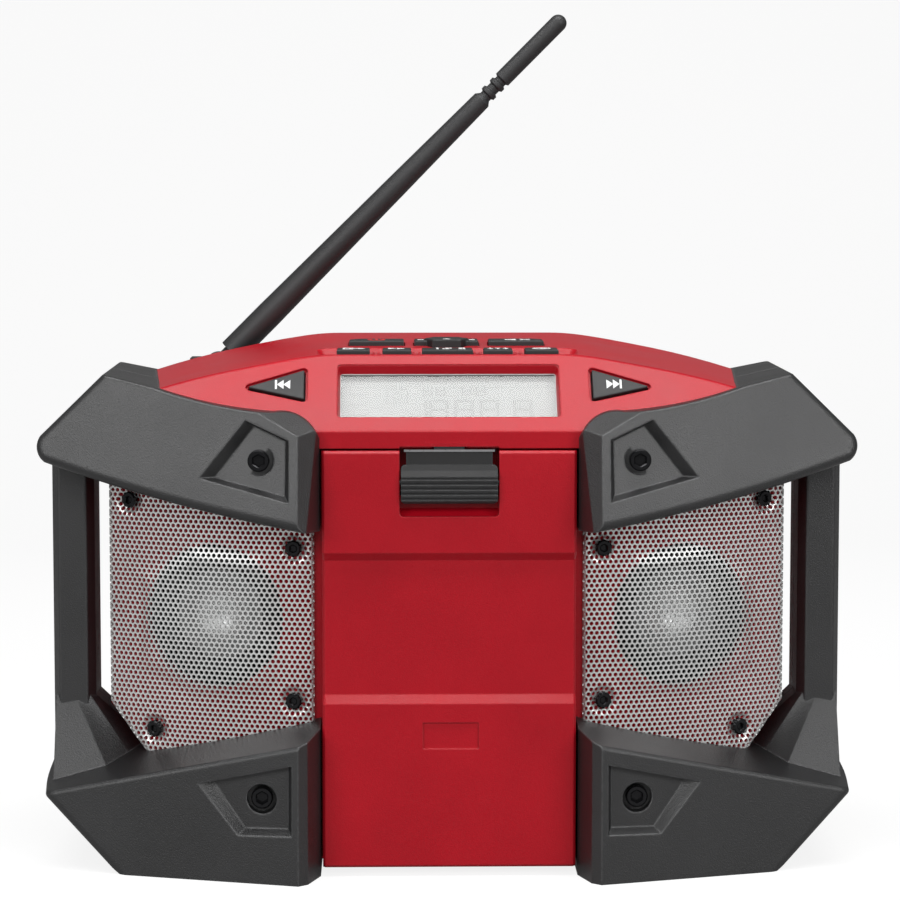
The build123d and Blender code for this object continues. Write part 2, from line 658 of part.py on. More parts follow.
def column(points, low_y, high_y, inset=0.0):
    """Prism along Y over an outline in (x, z), drawn in by inset."""
    with BuildPart() as prism:
        with BuildSketch(Plane.XZ.offset(-high_y)):
            with BuildLine():
                Polyline(*points, close=True)
            make_face()
            if inset:
                offset(amount=-inset, kind=Kind.INTERSECTION)
        extrude(amount=high_y - low_y)
    return prism.part


def on_curve(outline, outwards, inset=0.0):
    """Prism over an outline in (x, z) that ends on a curve in front of the left speaker front."""
    with BuildPart() as prism:
        add(column(outline, -GUARD_DEPTH, 0, inset))
        add(curve_column(CURVE_RADIUS + outwards), mode=Mode.INTERSECT)
    return prism.part


upper_front = Plane(origin=(-48, -GUARD_DEPTH, 118), x_dir=(1, -RECEDE, 0), z_dir=(-RECEDE, -1, LEAN))
lower_front = Plane(origin=(-48, -GUARD_DEPTH, 0), x_dir=(1, -RECEDE, 0), z_dir=(-RECEDE, -1, 0))
UPPER_POCKET = [(-67.3, 153.2), (-52.8, 146.9), (-52.8, 126.6), (-82.6, 134.0)]
UPPER_POCKET_FLOOR = [(-64.3, 151.0), (-53.9, 146.4), (-54.1, 128.6), (-77.6, 134.0)]
LOWER_POCKET = [(-83.5, 32.5), (-52.1, 40.0), (-52.2, 16.5), (-70.2, 15.9)]
LOWER_POCKET_FLOOR = [(-78.5, 33.2), (-53.2, 39.4), (-53.3, 18.3), (-67.8, 17.8)]
POCKET_DEPTH = 3.5

outer_cage = guard_volume(0)


def pocket_backing(outline):
    """Solid lump behind a pocket, out to the guard's surface."""
    with BuildPart() as backing:
        add(column(outline, -GUARD_DEPTH, 0))
        add(outer_cage, mode=Mode.INTERSECT)
    return backing.part


with BuildPart() as left_cage:
    add(outer_cage)
    add(guard_volume(GUARD_WALL), mode=Mode.SUBTRACT)
    add(pocket_backing(UPPER_POCKET))
    add(pocket_backing(LOWER_POCKET))
    for plane, outline, floor in (
        (upper_front, UPPER_POCKET, UPPER_POCKET_FLOOR),
        (lower_front, LOWER_POCKET, LOWER_POCKET_FLOOR),
    ):
        add(pocket_tool(plane, outline, floor, POCKET_DEPTH), mode=Mode.SUBTRACT)
    add(block((-150, -PARTING_GAP, -5), (0, 20, 200)), mode=Mode.SUBTRACT)

GRILLE_OUTLINE = [(-115.1, 131.5), (-45, 119.5), (-45, 45), (-98.6, 32.9), (-103.5, 38.1), (-115.1, 53.3)]
FRONT_SEAT, REAR_SEAT = 18.0, 5.0            # thickness left under a guard screw's head
grille_room = on_curve(GRILLE_OUTLINE, GRILLE_RISE + GAP)


def screw_wells(face_distance, seat):
    """Counterbored holes for a guard's two screws; the housing face lies face_distance in front."""
    with BuildPart() as wells:
        for distance, radius in ((face_distance + seat, SCREW_WELL_RADIUS), (face_distance - 3, 2.2)):
            with BuildSketch(Plane.XZ.offset(distance)):
                with Locations(UPPER_SCREW, LOWER_SCREW):
                    Circle(radius)
            extrude(amount=GUARD_DEPTH)
    return wells.part


with BuildPart() as left_front_guard:
    add(left_cage.part)
    add(screw_wells(-guard_screw_y, FRONT_SEAT), mode=Mode.SUBTRACT)
    add(solid_housing, mode=Mode.SUBTRACT)
    add(grille_room, mode=Mode.SUBTRACT)
save(left_front_guard.part, "left_front_guard")
save(mirrored(left_front_guard.part), "right_front_guard")

with BuildPart() as facing_rear_guard:
    add(left_cage.part)
    add(screw_wells(BACK_Y, REAR_SEAT), mode=Mode.SUBTRACT)
with BuildPart() as left_rear_guard:
    add(facing_back(facing_rear_guard.part))
    add(solid_housing, mode=Mode.SUBTRACT)
save(left_rear_guard.part, "left_rear_guard")
save(mirrored(left_rear_guard.part), "right_rear_guard")

with BuildPart() as front_guard_screws:
    with Locations(*[(x, guard_screw_y - FRONT_SEAT, z) for x, z in guard_places]):
        add(socket_screw(3.6, 3.4, 2.0, 10 + FRONT_SEAT))
save(front_guard_screws.part, "front_guard_screws")

rear_guard_screw = facing_back(socket_screw(3.6, 3.4, 2.0, 10 + REAR_SEAT))
with BuildPart() as rear_guard_screws:
    with Locations(*[(x, BACK_Y + REAR_SEAT, z) for x, z in guard_places]):
        add(rear_guard_screw)
save(rear_guard_screws.part, "rear_guard_screws")

# --------------------------------------------------------------------------
# Grilles

PAD_OUTLINE = [
    (-57.2, 65.5), (-57.2, 100.6), (-62.3, 105.4), (-84.9, 107.6),
    (-102.9, 97.5), (-102.9, 66.9), (-84.9, 58.0), (-62.3, 60.2),
]
PAD_RISE = 1.2
DIMPLE_RADIUS, DIMPLE_DEPTH = 4.8, 1.2


def dimple():
    """Cone-shaped hollow along Y whose wide end is on y = -GRILLE_RISE."""
    with BuildPart() as hollow:
        with BuildSketch(Plane.XZ.offset(GRILLE_RISE + 0.2)):
            Circle(DIMPLE_RADIUS)
        extrude(amount=-DIMPLE_DEPTH - 0.2, taper=38)
    return hollow.part


grille_screw_places = [square_to_curve(x, z) for x, z in GRILLE_SCREWS]

with BuildPart() as left_grille:
    add(on_curve(GRILLE_OUTLINE, GRILLE_RISE))
    add(on_curve(PAD_OUTLINE, GRILLE_RISE + PAD_RISE))
    add(on_curve(GRILLE_OUTLINE, GRILLE_RISE - GRILLE_SHEET, GRILLE_SHEET), mode=Mode.SUBTRACT)
    add(on_curve(PAD_OUTLINE, GRILLE_RISE + PAD_RISE - GRILLE_SHEET, GRILLE_SHEET), mode=Mode.SUBTRACT)
    with Locations(*grille_screw_places):
        add(rod(DIMPLE_RADIUS + 0.6, 0.3 - GRILLE_RISE, 1))
    add(curve_column(CURVE_RADIUS), mode=Mode.SUBTRACT)
    with Locations(*grille_screw_places):
        add(dimple(), mode=Mode.SUBTRACT)
        add(rod(1.4, -3, 3), mode=Mode.SUBTRACT)
save(left_grille.part, "left_grille")
save(mirrored(left_grille.part), "right_grille")

grille_screw = socket_screw(2.9, 2.0, 1.2, 5)
with BuildPart() as grille_screws:
    with Locations(*[square_to_curve(x, z, GRILLE_RISE - DIMPLE_DEPTH) for x, z in GRILLE_SCREWS]):
        add(grille_screw)
    mirror(grille_screws.part, about=Plane.YZ)
save(grille_screws.part, "grille_screws")

# --------------------------------------------------------------------------
# Loudspeakers, made round the Y axis with the frame's front face on y = 0, then set square to the curve

SURROUND_THICKNESS = 0.5
speaker_place = square_to_curve(SPEAKER_X, SPEAKER_Z, -SEAT_DEPTH - SURROUND_THICKNESS)
FRAME_THICKNESS = 1.5
DOME_RADIUS, DOME_CENTRE_Y = 12.6, 17.4     # dust cap
CAP_EDGE_RADIUS, COIL_RADIUS, PAPER = 9.2, 8.6, 0.6


def turned(points):
    """Solid of revolution round Y from a closed outline of (radius, y) points."""
    with BuildPart() as solid:
        with BuildSketch(Plane.XY):
            with BuildLine():
                Polyline(*points, close=True)
            make_face()
        revolve(axis=Axis.Y)
    return solid.part


def dome_y(radius, thickness):
    """Depth of the dust cap's surface at a radius, drawn in by thickness."""
    return DOME_CENTRE_Y - ((DOME_RADIUS - thickness) ** 2 - radius ** 2) ** 0.5


with BuildPart() as basket:
    add(
        turned([
            (24.8, 0), (31, 0), (31, FRAME_THICKNESS), (27, FRAME_THICKNESS), (18.6, 18.4),
            (18.6, 20.9), (10.5, 20.9), (10.5, 19.7), (17.4, 19.7), (17.4, 18.3), (25.6, FRAME_THICKNESS),
            (24.8, FRAME_THICKNESS),
        ])
    )
    with BuildSketch(Plane.XZ.offset(-FRAME_THICKNESS - 1)):
        with PolarLocations(21.5, 4):
            Circle(5.5)
    extrude(amount=-14, mode=Mode.SUBTRACT)
    with BuildSketch(Plane.XZ.offset(1)):
        with Locations(*speaker_screw_places):
            Circle(1.15)
    extrude(amount=-4, mode=Mode.SUBTRACT)

magnet = turned([
    (0, 33.9), (17, 33.9), (17, 30.9), (17.5, 30.9), (17.5, 23.9), (17, 23.9), (17, 20.9), (9.8, 20.9),
    (9.8, 30.9), (7.9, 30.9), (7.9, 20.9), (0, 20.9),
])

with BuildPart() as surround:
    add(turned([(24.0, -SURROUND_THICKNESS), (31, -SURROUND_THICKNESS), (31, 0), (24.0, 0)]))
    with BuildSketch(Plane.XY):
        with BuildLine():
            ThreePointArc((24.4, 0), (23, -1.6), (21.6, 0))
            Line((21.6, 0), (22.1, 0))
            ThreePointArc((22.1, 0), (23, -1.1), (23.9, 0))
            Line((23.9, 0), (24.4, 0))
        make_face()
    revolve(axis=Axis.Y)
    with BuildSketch(Plane.XZ.offset(1)):
        with Locations(*speaker_screw_places):
            Circle(1.15)
    extrude(amount=-4, mode=Mode.SUBTRACT)

with BuildPart() as cone:
    with BuildSketch(Plane.XY):
        with BuildLine():
            Line((21.2, 0), (CAP_EDGE_RADIUS, dome_y(CAP_EDGE_RADIUS, 0)))
            ThreePointArc(
                (CAP_EDGE_RADIUS, dome_y(CAP_EDGE_RADIUS, 0)),
                (CAP_EDGE_RADIUS / 2, dome_y(CAP_EDGE_RADIUS / 2, 0)),
                (0, dome_y(0, 0)),
            )
            Line((0, dome_y(0, 0)), (0, dome_y(0, PAPER)))
            ThreePointArc(
                (0, dome_y(0, PAPER)), (COIL_RADIUS / 2, dome_y(COIL_RADIUS / 2, PAPER)),
                (COIL_RADIUS, dome_y(COIL_RADIUS, PAPER)),
            )
            Polyline(
                (COIL_RADIUS, dome_y(COIL_RADIUS, PAPER)), (COIL_RADIUS, 25), (COIL_RADIUS + 0.6, 25),
                (COIL_RADIUS + 0.6, dome_y(CAP_EDGE_RADIUS, 0) + 0.7), (21.2, 0.7), (21.2, 0),
            )
        make_face()
    revolve(axis=Axis.Y)

speaker_screw = facing_back(socket_screw(1.7, 1.4, 1.1, 3.2))
with BuildPart() as speaker_screw_set:
    with Locations(*[(x, FRAME_THICKNESS, z) for x, z in speaker_screw_places]):
        add(speaker_screw)

for piece, piece_name in (
    (basket.part, "speaker_basket"),
    (magnet, "speaker_magnet"),
    (surround.part, "speaker_surround"),
    (cone.part, "speaker_cone"),
):
    with BuildPart() as placed:
        with Locations(speaker_place):
            add(piece)
    save(placed.part, f"left_{piece_name}")
    save(mirrored(placed.part), f"right_{piece_name}")

with BuildPart() as speaker_screws:
    with Locations(speaker_place):
        add(speaker_screw_set.part)
    mirror(speaker_screws.part, about=Plane.YZ)
save(speaker_screws.part, "speaker_screws")

# --------------------------------------------------------------------------
# Door and latch

BAND_LOW_Z, BAND_HIGH_Z, BAND_BEVEL, BAND_DEPTH = 58.3, 108.9, 2.8, 2.4

with BuildPart() as door:
    with BuildSketch(Plane.YZ.offset(-DOOR_HALF_WIDTH)):
        with BuildLine():
            Polyline(
                (FACE_Y, BASE_Z + 0.8), (FACE_Y, BAND_LOW_Z), (FACE_Y + BAND_DEPTH, BAND_LOW_Z + BAND_BEVEL),
                (FACE_Y + BAND_DEPTH, BAND_HIGH_Z - BAND_BEVEL), (FACE_Y, BAND_HIGH_Z),
                (FACE_Y, DOOR_TOP_Z - 0.8),
                (FACE_Y + 0.8, DOOR_TOP_Z), (DOOR_BACK_Y, DOOR_TOP_Z), (DOOR_BACK_Y, BASE_Z + 2),
                (DOOR_BACK_Y - 2, BASE_Z), (FACE_Y + 0.8, BASE_Z), close=True,
            )
        make_face()
    extrude(amount=2 * DOOR_HALF_WIDTH)
    side_edges = door.edges().group_by(Axis.X)[0] + door.edges().group_by(Axis.X)[-1]
    chamfer(side_edges.filter_by_position(Axis.Y, FACE_Y - 1, FACE_Y + BAND_DEPTH + 0.1), 0.8)
    add(block((-38.5, -43.4, 15.5), (38.5, DOOR_BACK_Y + 1, 117)), mode=Mode.SUBTRACT)
    # latch notch: a finger hollow with a sloping floor below, open through the door above
    with BuildSketch(Plane.XZ.offset(-HOLLOW_BACK_Y)):
        with Locations((0, NOTCH_LOW_Z + 12)):
            RectangleRounded(2 * NOTCH_HALF_WIDTH, 24, 1.4)
    extrude(amount=8, mode=Mode.SUBTRACT)
    notch_top = ((-NOTCH_HALF_WIDTH, FACE_Y - 1, 135), (NOTCH_HALF_WIDTH, HOLLOW_BACK_Y, 146))
    add(block(*notch_top), mode=Mode.SUBTRACT)
    with BuildSketch(Plane.YZ.offset(-NOTCH_HALF_WIDTH - 0.5)):
        with BuildLine():
            Polyline(
                (FACE_Y + 1.2, NOTCH_LOW_Z - 0.5), (HOLLOW_BACK_Y + 0.5, NOTCH_LOW_Z - 0.5),
                (HOLLOW_BACK_Y + 0.5, NOTCH_LOW_Z + 2.6), close=True,
            )
        make_face()
    extrude(amount=2 * NOTCH_HALF_WIDTH + 1)
    add(block((-NOTCH_HALF_WIDTH, FACE_Y - 1, 127.5), (NOTCH_HALF_WIDTH, -30, 145)), mode=Mode.SUBTRACT)
    with BuildSketch(Plane.YZ.offset(-19)):
        with Locations((LATCH_Y, LATCH_Z)):
            Circle(LATCH_PIN_RADIUS)
    extrude(amount=38, mode=Mode.SUBTRACT)
    # bare name plate hollow
    add(block((-8.8, FACE_Y - 1, 43.1), (9.8, FACE_Y + 0.6, 51.9)), mode=Mode.SUBTRACT)
    # hinge: bore for the pin and slots for the housing's lugs
    with BuildSketch(Plane.YZ.offset(-34)):
        with Locations((HINGE_Y, HINGE_Z)):
            Circle(HINGE_RADIUS)
    extrude(amount=68, mode=Mode.SUBTRACT)
    for side in (-1, 1):
        slot_low = (side * 24 - 4.5, HINGE_Y - 3.4, 0)
        add(block(slot_low, (side * 24 + 4.5, DOOR_BACK_Y + 1, HINGE_Z + 3.5)), mode=Mode.SUBTRACT)
save(door.part, "door")

with BuildPart() as hinge_pin:
    with BuildSketch(Plane.YZ.offset(-34)):
        with Locations((HINGE_Y, HINGE_Z)):
            Circle(HINGE_RADIUS)
    extrude(amount=68)
save(hinge_pin.part, "hinge_pin")

LATCH_HALF_WIDTH, LATCH_LOW_Z, LATCH_SHOULDER_Z = 16.0, 125.4, 138.2
RIB_PITCH = 1.7
with BuildPart() as latch:
    with BuildSketch(Plane.YZ.offset(-LATCH_HALF_WIDTH)):
        with BuildLine():
            Polyline(
                (-49.0, LATCH_LOW_Z), (-50.0, 126.4), (-50.0, 134.2), (-48.6, 136.4),
                (-47.8, LATCH_SHOULDER_Z), (-47.6, 142.9), (-45.6, 142.9), (-45.6, 136), (-43.9, 133.6),
                (-43.5, 132), (-43.9, 130.2), (-45.6, 128.4), (-46.6, LATCH_LOW_Z), close=True,
            )
        make_face()
    extrude(amount=2 * LATCH_HALF_WIDTH)
    # the flat upper part is narrower than the grip, whose corners are rounded
    with BuildSketch(Plane.XZ.offset(40)):
        with Locations((0, (LATCH_LOW_Z + LATCH_SHOULDER_Z) / 2)):
            RectangleRounded(2 * LATCH_HALF_WIDTH, LATCH_SHOULDER_Z - LATCH_LOW_Z, 1.5)
        with Locations((0, LATCH_SHOULDER_Z)):
            Rectangle(28.6, 14)
    extrude(amount=12, mode=Mode.INTERSECT)
    for step in range(5):
        groove_z = 126.6 + step * RIB_PITCH
        add(block((-17, -50.5, groove_z), (17, -49.5, groove_z + RIB_PITCH * 0.45)), mode=Mode.SUBTRACT)
    # hook that reaches up behind the brow's front lip
    add(block((-5, LATCH_Y, 141), (5, LATCH_Y + 1.4, 145.2)))
    with BuildSketch(Plane.YZ.offset(-17)):
        with Locations((LATCH_Y, LATCH_Z)):
            Circle(LATCH_PIN_RADIUS + 0.06)
    extrude(amount=34, mode=Mode.SUBTRACT)
    with BuildSketch(Plane.YZ.offset(-4.5)):
        with Locations((LATCH_Y, LATCH_Z)):
            Circle(2.45)
    extrude(amount=9, mode=Mode.SUBTRACT)
save(latch.part, "latch")

with BuildPart() as latch_pin:
    with BuildSketch(Plane.YZ.offset(-19)):
        with Locations((LATCH_Y, LATCH_Z)):
            Circle(LATCH_PIN_RADIUS)
    extrude(amount=38)
save(latch_pin.part, "latch_pin")

with BuildPart() as latch_spring:
    with BuildLine() as coil:
        Helix(pitch=0.9, height=7.2, radius=1.7, center=(-3.6, LATCH_Y, LATCH_Z), direction=(1, 0, 0))
    with BuildSketch(Plane(origin=coil.line @ 0, z_dir=coil.line % 0)):
        Circle(0.3)
    sweep(path=coil.line)
save(latch_spring.part, "latch_spring")

# --------------------------------------------------------------------------
# Compartment behind the door

TRAY_WALL = 1.5
with BuildPart() as compartment_liner:
    add(block((-TRAY_HALF_WIDTH, SHELF_Y, TRAY_BOTTOM_Z), (TRAY_HALF_WIDTH, TRAY_BACK_Y, TRAY_TOP_Z)))
    inner = TRAY_HALF_WIDTH - TRAY_WALL
    room_low = (-inner, SHELF_Y - 1, TRAY_BOTTOM_Z + TRAY_WALL)
    add(block(room_low, (inner, TRAY_BACK_Y - TRAY_WALL, TRAY_TOP_Z - TRAY_WALL)), mode=Mode.SUBTRACT)
    with BuildSketch(Plane.XZ):
        with Locations(AUX_JACK):
            Circle(3)
    extrude(amount=-TRAY_BACK_Y + TRAY_WALL + 1, mode=Mode.SUBTRACT)
save(compartment_liner.part, "compartment_liner")

AUX_MOUTH_Y = TRAY_BACK_Y - TRAY_WALL - 1
with BuildPart() as aux_jack:
    for radius, length in ((4.2, 1), (3.0, AUX_BORE_LENGTH)):
        with BuildSketch(Plane.XZ.offset(-AUX_MOUTH_Y)):
            with Locations(AUX_JACK):
                Circle(radius)
        extrude(amount=-length)
    with BuildSketch(Plane.XZ):
        with Locations(AUX_JACK):
            Circle(AUX_BORE_RADIUS)
    extrude(amount=GUARD_DEPTH, mode=Mode.SUBTRACT)
save(aux_jack.part, "aux_jack")

with BuildPart() as compartment_pad:
    pad_back_y = TRAY_BACK_Y - TRAY_WALL
    add(block((-29, pad_back_y - 2.5, 24), (29, pad_back_y, 78)))
    fillet(compartment_pad.edges().filter_by(Axis.Y), 3)
save(compartment_pad.part, "compartment_pad")

with BuildPart() as door_seal:
    add(block((-41.4, SHELF_Y - 0.8, 12.6), (41.4, SHELF_Y, 120.2)))
    add(block((-39.0, SHELF_Y - 1, 15.2), (39.0, SHELF_Y + 1, 117.6)), mode=Mode.SUBTRACT)
save(door_seal.part, "door_seal")

# --------------------------------------------------------------------------
# Battery

BAY_WALL = 1.8
PACK_PLAY = 0.6
PACK_FRONT_Y = BAY_FRONT_Y + 7
FOOT_BACK_Y = 58.0
with BuildPart() as battery_bay:
    add(block((-BAY_HALF_WIDTH, BAY_FRONT_Y, BAY_BOTTOM_Z), (BAY_HALF_WIDTH, BACK_Y, BAY_TOP_Z)))
    inner = BAY_HALF_WIDTH - BAY_WALL
    room_low = (-inner, BAY_FRONT_Y + BAY_WALL, BAY_BOTTOM_Z + BAY_WALL)
    add(block(room_low, (inner, BACK_Y + 1, BAY_TOP_Z - BAY_WALL)), mode=Mode.SUBTRACT)
save(battery_bay.part, "battery_bay")

with BuildPart() as battery_terminals:
    for blade_x in (-9, 0, 9):
        blade_low = (blade_x - 0.5, BAY_FRONT_Y + BAY_WALL, 34)
        add(block(blade_low, (blade_x + 0.5, PACK_FRONT_Y - 0.6, 44)))
save(battery_terminals.part, "battery_terminals")

with BuildPart() as battery_pack:
    play = BAY_WALL + PACK_PLAY
    pack_low = (-BAY_HALF_WIDTH + play, PACK_FRONT_Y, BAY_BOTTOM_Z + play)
    add(block(pack_low, (BAY_HALF_WIDTH - play, BACK_Y + 1, BAY_TOP_Z - play)))
    chamfer(battery_pack.edges().filter_by(Axis.Y), 2)
    with BuildSketch(Plane.XZ.offset(-BACK_Y - PACK_PLAY)):
        with Locations((0, (BAY_BOTTOM_Z + BAY_TOP_Z) / 2)):
            RectangleRounded(50, 54, 6)
    extrude(amount=-(FOOT_BACK_Y - BACK_Y - PACK_PLAY))
    fillet(battery_pack.edges().group_by(Axis.Y)[-1], 2)
    for side in (-1, 1):
        low_x, high_x = sorted((side * 20.6, side * 26))
        add(block((low_x, 48.6, 31.6), (high_x, 55.4, 46.4)), mode=Mode.SUBTRACT)
save(battery_pack.part, "battery_pack")

with BuildPart() as battery_tab_left:
    add(block((-26, 49, 32), (-22.4, 55, 46)))
    chamfer(battery_tab_left.edges().group_by(Axis.X)[0], 0.6)
save(battery_tab_left.part, "battery_tab_left")
save(mirrored(battery_tab_left.part), "battery_tab_right")

# --------------------------------------------------------------------------
# Antenna

PIN_RADIUS = 1.8
with BuildPart() as antenna_bracket:
    add(block((PIVOT[0] - 9.5, 36, 162), (PIVOT[0] + 9.5, BACK_Y + 1.6, 168)))
    add(solid_housing, mode=Mode.SUBTRACT)
    with BuildSketch(Plane.XZ.offset(-BACK_Y)):
        with Locations((PIVOT[0], PIVOT[2])):
            Circle(5)
    extrude(amount=-4.7)
    with BuildSketch(Plane.XZ.offset(-BACK_Y)):
        with Locations((PIVOT[0], PIVOT[2])):
            Circle(PIN_RADIUS)
    extrude(amount=-6, mode=Mode.SUBTRACT)
save(antenna_bracket.part, "antenna_bracket")

pivot_screw = facing_back(socket_screw(3.4, 1.6, PIN_RADIUS, 9))
with BuildPart() as antenna_pin:
    with Locations((PIVOT[0], PIVOT[1] + 2.3, PIVOT[2])):
        add(pivot_screw)
save(antenna_pin.part, "antenna_pin")

SLEEVE_START = 6.5
TIP_RADIUS = 3.1
whip_plane = Plane(
    origin=PIVOT, x_dir=(0, 1, 0),
    z_dir=(WHIP_TIP[0] - PIVOT[0], 0, WHIP_TIP[2] - PIVOT[2]),
)
with BuildPart() as antenna_whip:
    with BuildSketch(Plane(origin=PIVOT, x_dir=(0, 1, 0), z_dir=-whip_plane.y_dir)):
        with BuildLine():
            Polyline(
                (0, SLEEVE_START), (4.9, SLEEVE_START), (4.9, 26), (4.1, 88), (3.4, 135), (2.2, 136.5),
                (2.2, 137.5), (3.0, 138), (3.0, 139.4), (2.2, 139.9), (2.2, 141.6), (3.0, 142.1),
                (3.0, 143.5), (2.2, 144), (2.2, 144.9), (TIP_RADIUS, 145.4),
                (TIP_RADIUS, WHIP_LENGTH - TIP_RADIUS),
            )
            CenterArc((0, WHIP_LENGTH - TIP_RADIUS), TIP_RADIUS, 0, 90)
            Line((0, WHIP_LENGTH), (0, SLEEVE_START))
        make_face()
    revolve(axis=Axis(origin=PIVOT, direction=whip_plane.z_dir))
    with BuildSketch(Plane.XZ.offset(-PIVOT[1] - 2)):
        with Locations((PIVOT[0], PIVOT[2])):
            Circle(4.2)
    extrude(amount=4)
    tongue_tip = whip_plane.from_local_coords((0, 0, SLEEVE_START + 1))
    with BuildSketch(Plane.XZ.offset(-PIVOT[1] - 2)):
        with Locations(((PIVOT[0] + tongue_tip.X) / 2, (PIVOT[2] + tongue_tip.Z) / 2)):
            whip_angle = degrees(atan2(tongue_tip.Z - PIVOT[2], tongue_tip.X - PIVOT[0]))
            SlotOverall(SLEEVE_START + 7, 6, rotation=whip_angle)
    extrude(amount=4)
    with BuildSketch(Plane.XZ.offset(-PIVOT[1] - 3)):
        with Locations((PIVOT[0], PIVOT[2])):
            Circle(PIN_RADIUS + 0.06)
    extrude(amount=8, mode=Mode.SUBTRACT)
save(antenna_whip.part, "antenna_whip")
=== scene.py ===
"""Jobsite radio: finishes and fine shapes over the fixed frame.

Shapes are drawn in millimetres with X right, Y back and Z up, and become metres as each piece is made.
"""

from __future__ import annotations

import logging
import math
from dataclasses import dataclass, field
from enum import Enum
from typing import Iterable, Sequence

import bmesh
import bpy
from mathutils import Matrix, Vector

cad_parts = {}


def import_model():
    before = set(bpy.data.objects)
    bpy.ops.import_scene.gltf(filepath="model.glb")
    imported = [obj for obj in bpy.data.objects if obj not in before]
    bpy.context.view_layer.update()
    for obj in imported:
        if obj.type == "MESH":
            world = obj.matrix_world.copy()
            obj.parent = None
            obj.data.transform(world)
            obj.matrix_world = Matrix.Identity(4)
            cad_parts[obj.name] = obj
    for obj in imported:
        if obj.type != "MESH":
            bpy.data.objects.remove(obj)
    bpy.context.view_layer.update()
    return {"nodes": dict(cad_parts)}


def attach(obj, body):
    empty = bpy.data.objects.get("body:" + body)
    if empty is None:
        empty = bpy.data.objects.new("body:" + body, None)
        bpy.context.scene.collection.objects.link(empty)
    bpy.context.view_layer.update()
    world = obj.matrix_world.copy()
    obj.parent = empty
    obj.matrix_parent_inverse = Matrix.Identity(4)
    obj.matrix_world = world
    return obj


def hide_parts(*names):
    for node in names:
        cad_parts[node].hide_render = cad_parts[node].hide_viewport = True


LOG = logging.getLogger("jobsite_radio")
MM = 0.001
ROOT = "root"
# How the grain and the lighter edges read their noises. The lighter edges are partly worn plastic and partly
# a painted highlight.
SPECKLE_SHARE = 0.7
TONE_SPAN = (0.25, 0.75)
SHEEN_SPAN = (0.2, 0.8)
WORN_EDGE_HIGHLIGHT_TURN = (0.78, 0.99)
WORN_EDGE_HIGHLIGHT_PATCHES = (0.3, 0.62)
LEAST_WORN_EDGE_HIGHLIGHT = 0.25
Colour = tuple[float, float, float]
Mesh = bmesh.types.BMesh
Node = bpy.types.Node
Piece = bpy.types.Object
Socket = bpy.types.NodeSocket
Point = tuple[float, float]
Outline = Sequence[Point]


def linear(red: float, green: float, blue: float) -> tuple[float, float, float, float]:
    """Turn a colour on the usual 0 to 255 scale into the linear colour that shaders use.

    Args:
        red, green, blue: The colour as it is seen on a screen.

    Returns:
        Linear red, green and blue, and an alpha of 1.
    """
    steps = [value / 255 for value in (red, green, blue)]
    channels = [s / 12.92 if s <= 0.04045 else ((s + 0.055) / 1.055) ** 2.4 for s in steps]
    return (channels[0], channels[1], channels[2], 1.0)


# ---------------------------------------------------------------------------
# Shader node groups


class Graph:
    """A shader node tree with short ways to add and join nodes."""

    def __init__(self, tree: bpy.types.NodeTree) -> None:
        """Keep the tree that the nodes go into."""
        self.tree = tree

    def add(self, kind: str, settings: dict[str, object] | None = None, **inputs: object) -> Node:
        """Add a node.

        Args:
            kind: The node's type name, such as ShaderNodeMath.
            settings: Properties of the node itself.
            inputs: Socket values, or other sockets to join. Spaces in the names are underscores, and i0 is
                the first socket where the names repeat.

        Returns:
            The new node.
        """
        node = self.tree.nodes.new(kind)
        for key, value in (settings or {}).items():
            setattr(node, key, value)
        for key, value in inputs.items():
            numbered = key[0] == "i" and key[1:].isdigit()
            self.put(node.inputs[int(key[1:]) if numbered else key.replace("_", " ")], value)
        return node

    def put(self, socket: Socket, value: object) -> None:
        """Set a socket to a value, or join it to another socket.

        Args:
            socket: The socket.
            value: The value, or the socket that feeds it.
        """
        if isinstance(value, Socket):
            self.tree.links.new(value, socket)
        else:
            socket.default_value = value

    def place(self) -> Socket:
        """Where on its piece a point lies, as a socket."""
        return self.add("ShaderNodeTexCoord").outputs["Object"]

    def mix(self, factor: object, first: object, second: object) -> Socket:
        """Blend two colours.

        Args:
            factor: How much of the second colour there is.
            first, second: The colours, or their sockets.

        Returns:
            The socket of the blended colour.
        """
        node = self.add("ShaderNodeMix", {"data_type": "RGBA"})
        self.put(node.inputs["Factor"], factor)
        self.put(node.inputs[6], first)
        self.put(node.inputs[7], second)
        return node.outputs[2]

    def ranged(
        self, value: object, low: float, high: float, out_low: float, out_high: float
    ) -> Socket:
        """Map a value from one range to another, clamped, and return its socket."""
        node = self.add("ShaderNodeMapRange", None, i0=value, i1=low, i2=high, i3=out_low, i4=out_high)
        return node.outputs[0]

    def maths(self, operation: str, first: object, second: object = 0.0) -> Socket:
        """Do one sum and return its socket."""
        return self.add("ShaderNodeMath", {"operation": operation}, i0=first, i1=second).outputs[0]


def new_group(
    name: str, inputs: dict[str, float], outputs: Sequence[str]
) -> tuple[Graph, Node, Node]:
    """Start a shader node group.

    Args:
        name: The group's name.
        inputs: Each number that goes in, and its usual value. A position goes in as Vector.
        outputs: Each number that comes out.

    Returns:
        The group's graph, its input node and its output node.
    """
    tree = bpy.data.node_groups.new(name, "ShaderNodeTree")
    tree.interface.new_socket("Vector", in_out="INPUT", socket_type="NodeSocketVector")
    for label, value in inputs.items():
        tree.interface.new_socket(label, in_out="INPUT", socket_type="NodeSocketFloat").default_value = value
    for label in outputs:
        tree.interface.new_socket(label, in_out="OUTPUT", socket_type="NodeSocketFloat")
    graph = Graph(tree)
    return graph, graph.add("NodeGroupInput"), graph.add("NodeGroupOutput")


